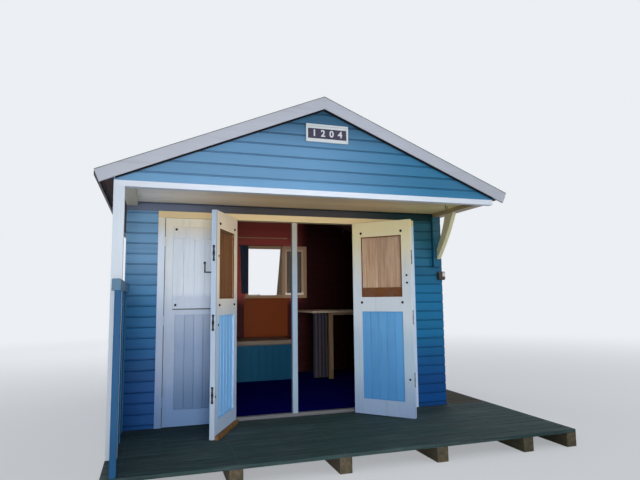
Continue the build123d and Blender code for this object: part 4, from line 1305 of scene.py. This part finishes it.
print("camera, floor and lights")
view = {"place": (-1.4504, -5.2629, 1.3513), "yaw": 17.8083, "pitch": 6.2454, "roll": -0.6084,
        "focalPixels": 520.84, "framePixels": 640}


def addCamera():
    data = bpy.data.cameras.new("camera")
    data.sensor_width = 36
    data.lens = view["focalPixels"] / view["framePixels"] * data.sensor_width
    data.clip_start, data.clip_end = 0.05, 200
    made = addObject("camera", data)
    yaw, pitch, roll = [math.radians(view[key]) for key in ("yaw", "pitch", "roll")]
    ahead = Vector((math.sin(yaw) * math.cos(pitch), math.cos(yaw) * math.cos(pitch), math.sin(pitch)))
    level = Vector((math.cos(yaw), -math.sin(yaw), 0))
    sideways = level * math.cos(roll) + level.cross(ahead) * math.sin(roll)
    turn = Matrix((sideways, sideways.cross(ahead), -ahead)).transposed()
    made.matrix_world = Matrix.Translation(view["place"]) @ turn.to_4x4()
    bpy.context.scene.camera = made


addCamera()
studio = {"backdrop": srgb(236, 239, 243), "floor": srgb(220, 222, 224), "light": srgb(236, 240, 246),
          "strength": 0.50, "size": 60, "fade": (3.0, 16.0)}


def seenRays(g):                                  # 1 for what is seen, itself or in glass, and 0 for light
    path = [g.node("LightPath", out="Is %s Ray" % kind) for kind in ("Camera", "Glossy", "Transmission")]
    return path[0].most(path[1]).most(path[2])


def addFloor():
    made, g, place = opened("studioFloor")
    away = g.node("VectorMath", {0: place}, "Value", operation="LENGTH")
    fade = seenRays(g) * (g.ease(away, *studio["fade"]) * 0.6 + 0.4)   # goes over into the backdrop
    black, size = (0.0, 0.0, 0.0), studio["size"]
    closed(made, g, Base_Color=g.mix(fade, studio["floor"], black), Roughness=0.9, Emission_Strength=1.0,
           Emission_Color=g.mix(fade, black, studio["backdrop"]), Specular_IOR_Level=0.0)
    made.cycles.emission_sampling = "NONE"
    corners = [(-size, -size, 0), (size, -size, 0), (size, size, 0), (-size, size, 0)]
    floor = meshObject("studio_floor", corners, [(0, 1, 2, 3)], "studioFloor")
    floor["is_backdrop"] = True


addFloor()


def addWorld():
    world = bpy.data.worlds.new("studio")
    bpy.context.scene.world = world
    world.use_nodes = True
    g = Graph(world.node_tree)
    lit = g.node("Background", {"Color": (*studio["light"], 1), "Strength": studio["strength"]})
    seen = g.node("Background", {"Color": (*studio["backdrop"], 1), "Strength": 1.0})
    g.node("OutputWorld", {"Surface": g.node("MixShader", {0: seenRays(g), 1: lit, 2: seen})})


addWorld()


def addLamp(name, place, aim, size, power, colour, spread=180):
    data = bpy.data.lights.new(name, "AREA")
    data.shape, data.size, data.energy, data.color = "DISK", size, power, colour
    data.spread = math.radians(spread)
    made = addObject(name, data)
    turn = (Vector(aim) - Vector(place)).to_track_quat("-Z", "Y")
    made.matrix_world = Matrix.Translation(place) @ turn.to_matrix().to_4x4()
    return made


addLamp("keyLamp", (-5.5, -7.5, 6.5), (0, 0, 1.4), 4.0, 80, (1.0, 0.98, 0.95))
addLamp("fillLamp", (6.5, -6.0, 3.5), (0, 0, 1.4), 4.0, 130, (0.93, 0.97, 1.0))
addLamp("frontLamp", (-1.2, -7.5, 1.1), (-0.1, 0, 1.05), 3.0, 30, (1.0, 0.99, 0.98), 45)
addLamp("backLamp", (-3.0, 10.5, 5.5), (0, 2.5, 1.4), 4.0, 260, (1.0, 0.99, 0.97))
addLamp("roomLamp", (0.1, 0.5, 2.15), (0.3, 2.6, 0.9), 1.2, 3, (1.0, 0.98, 0.95)).visible_camera = False

bpy.context.scene.view_settings.view_transform = "Standard"
low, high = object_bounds()
print("done")
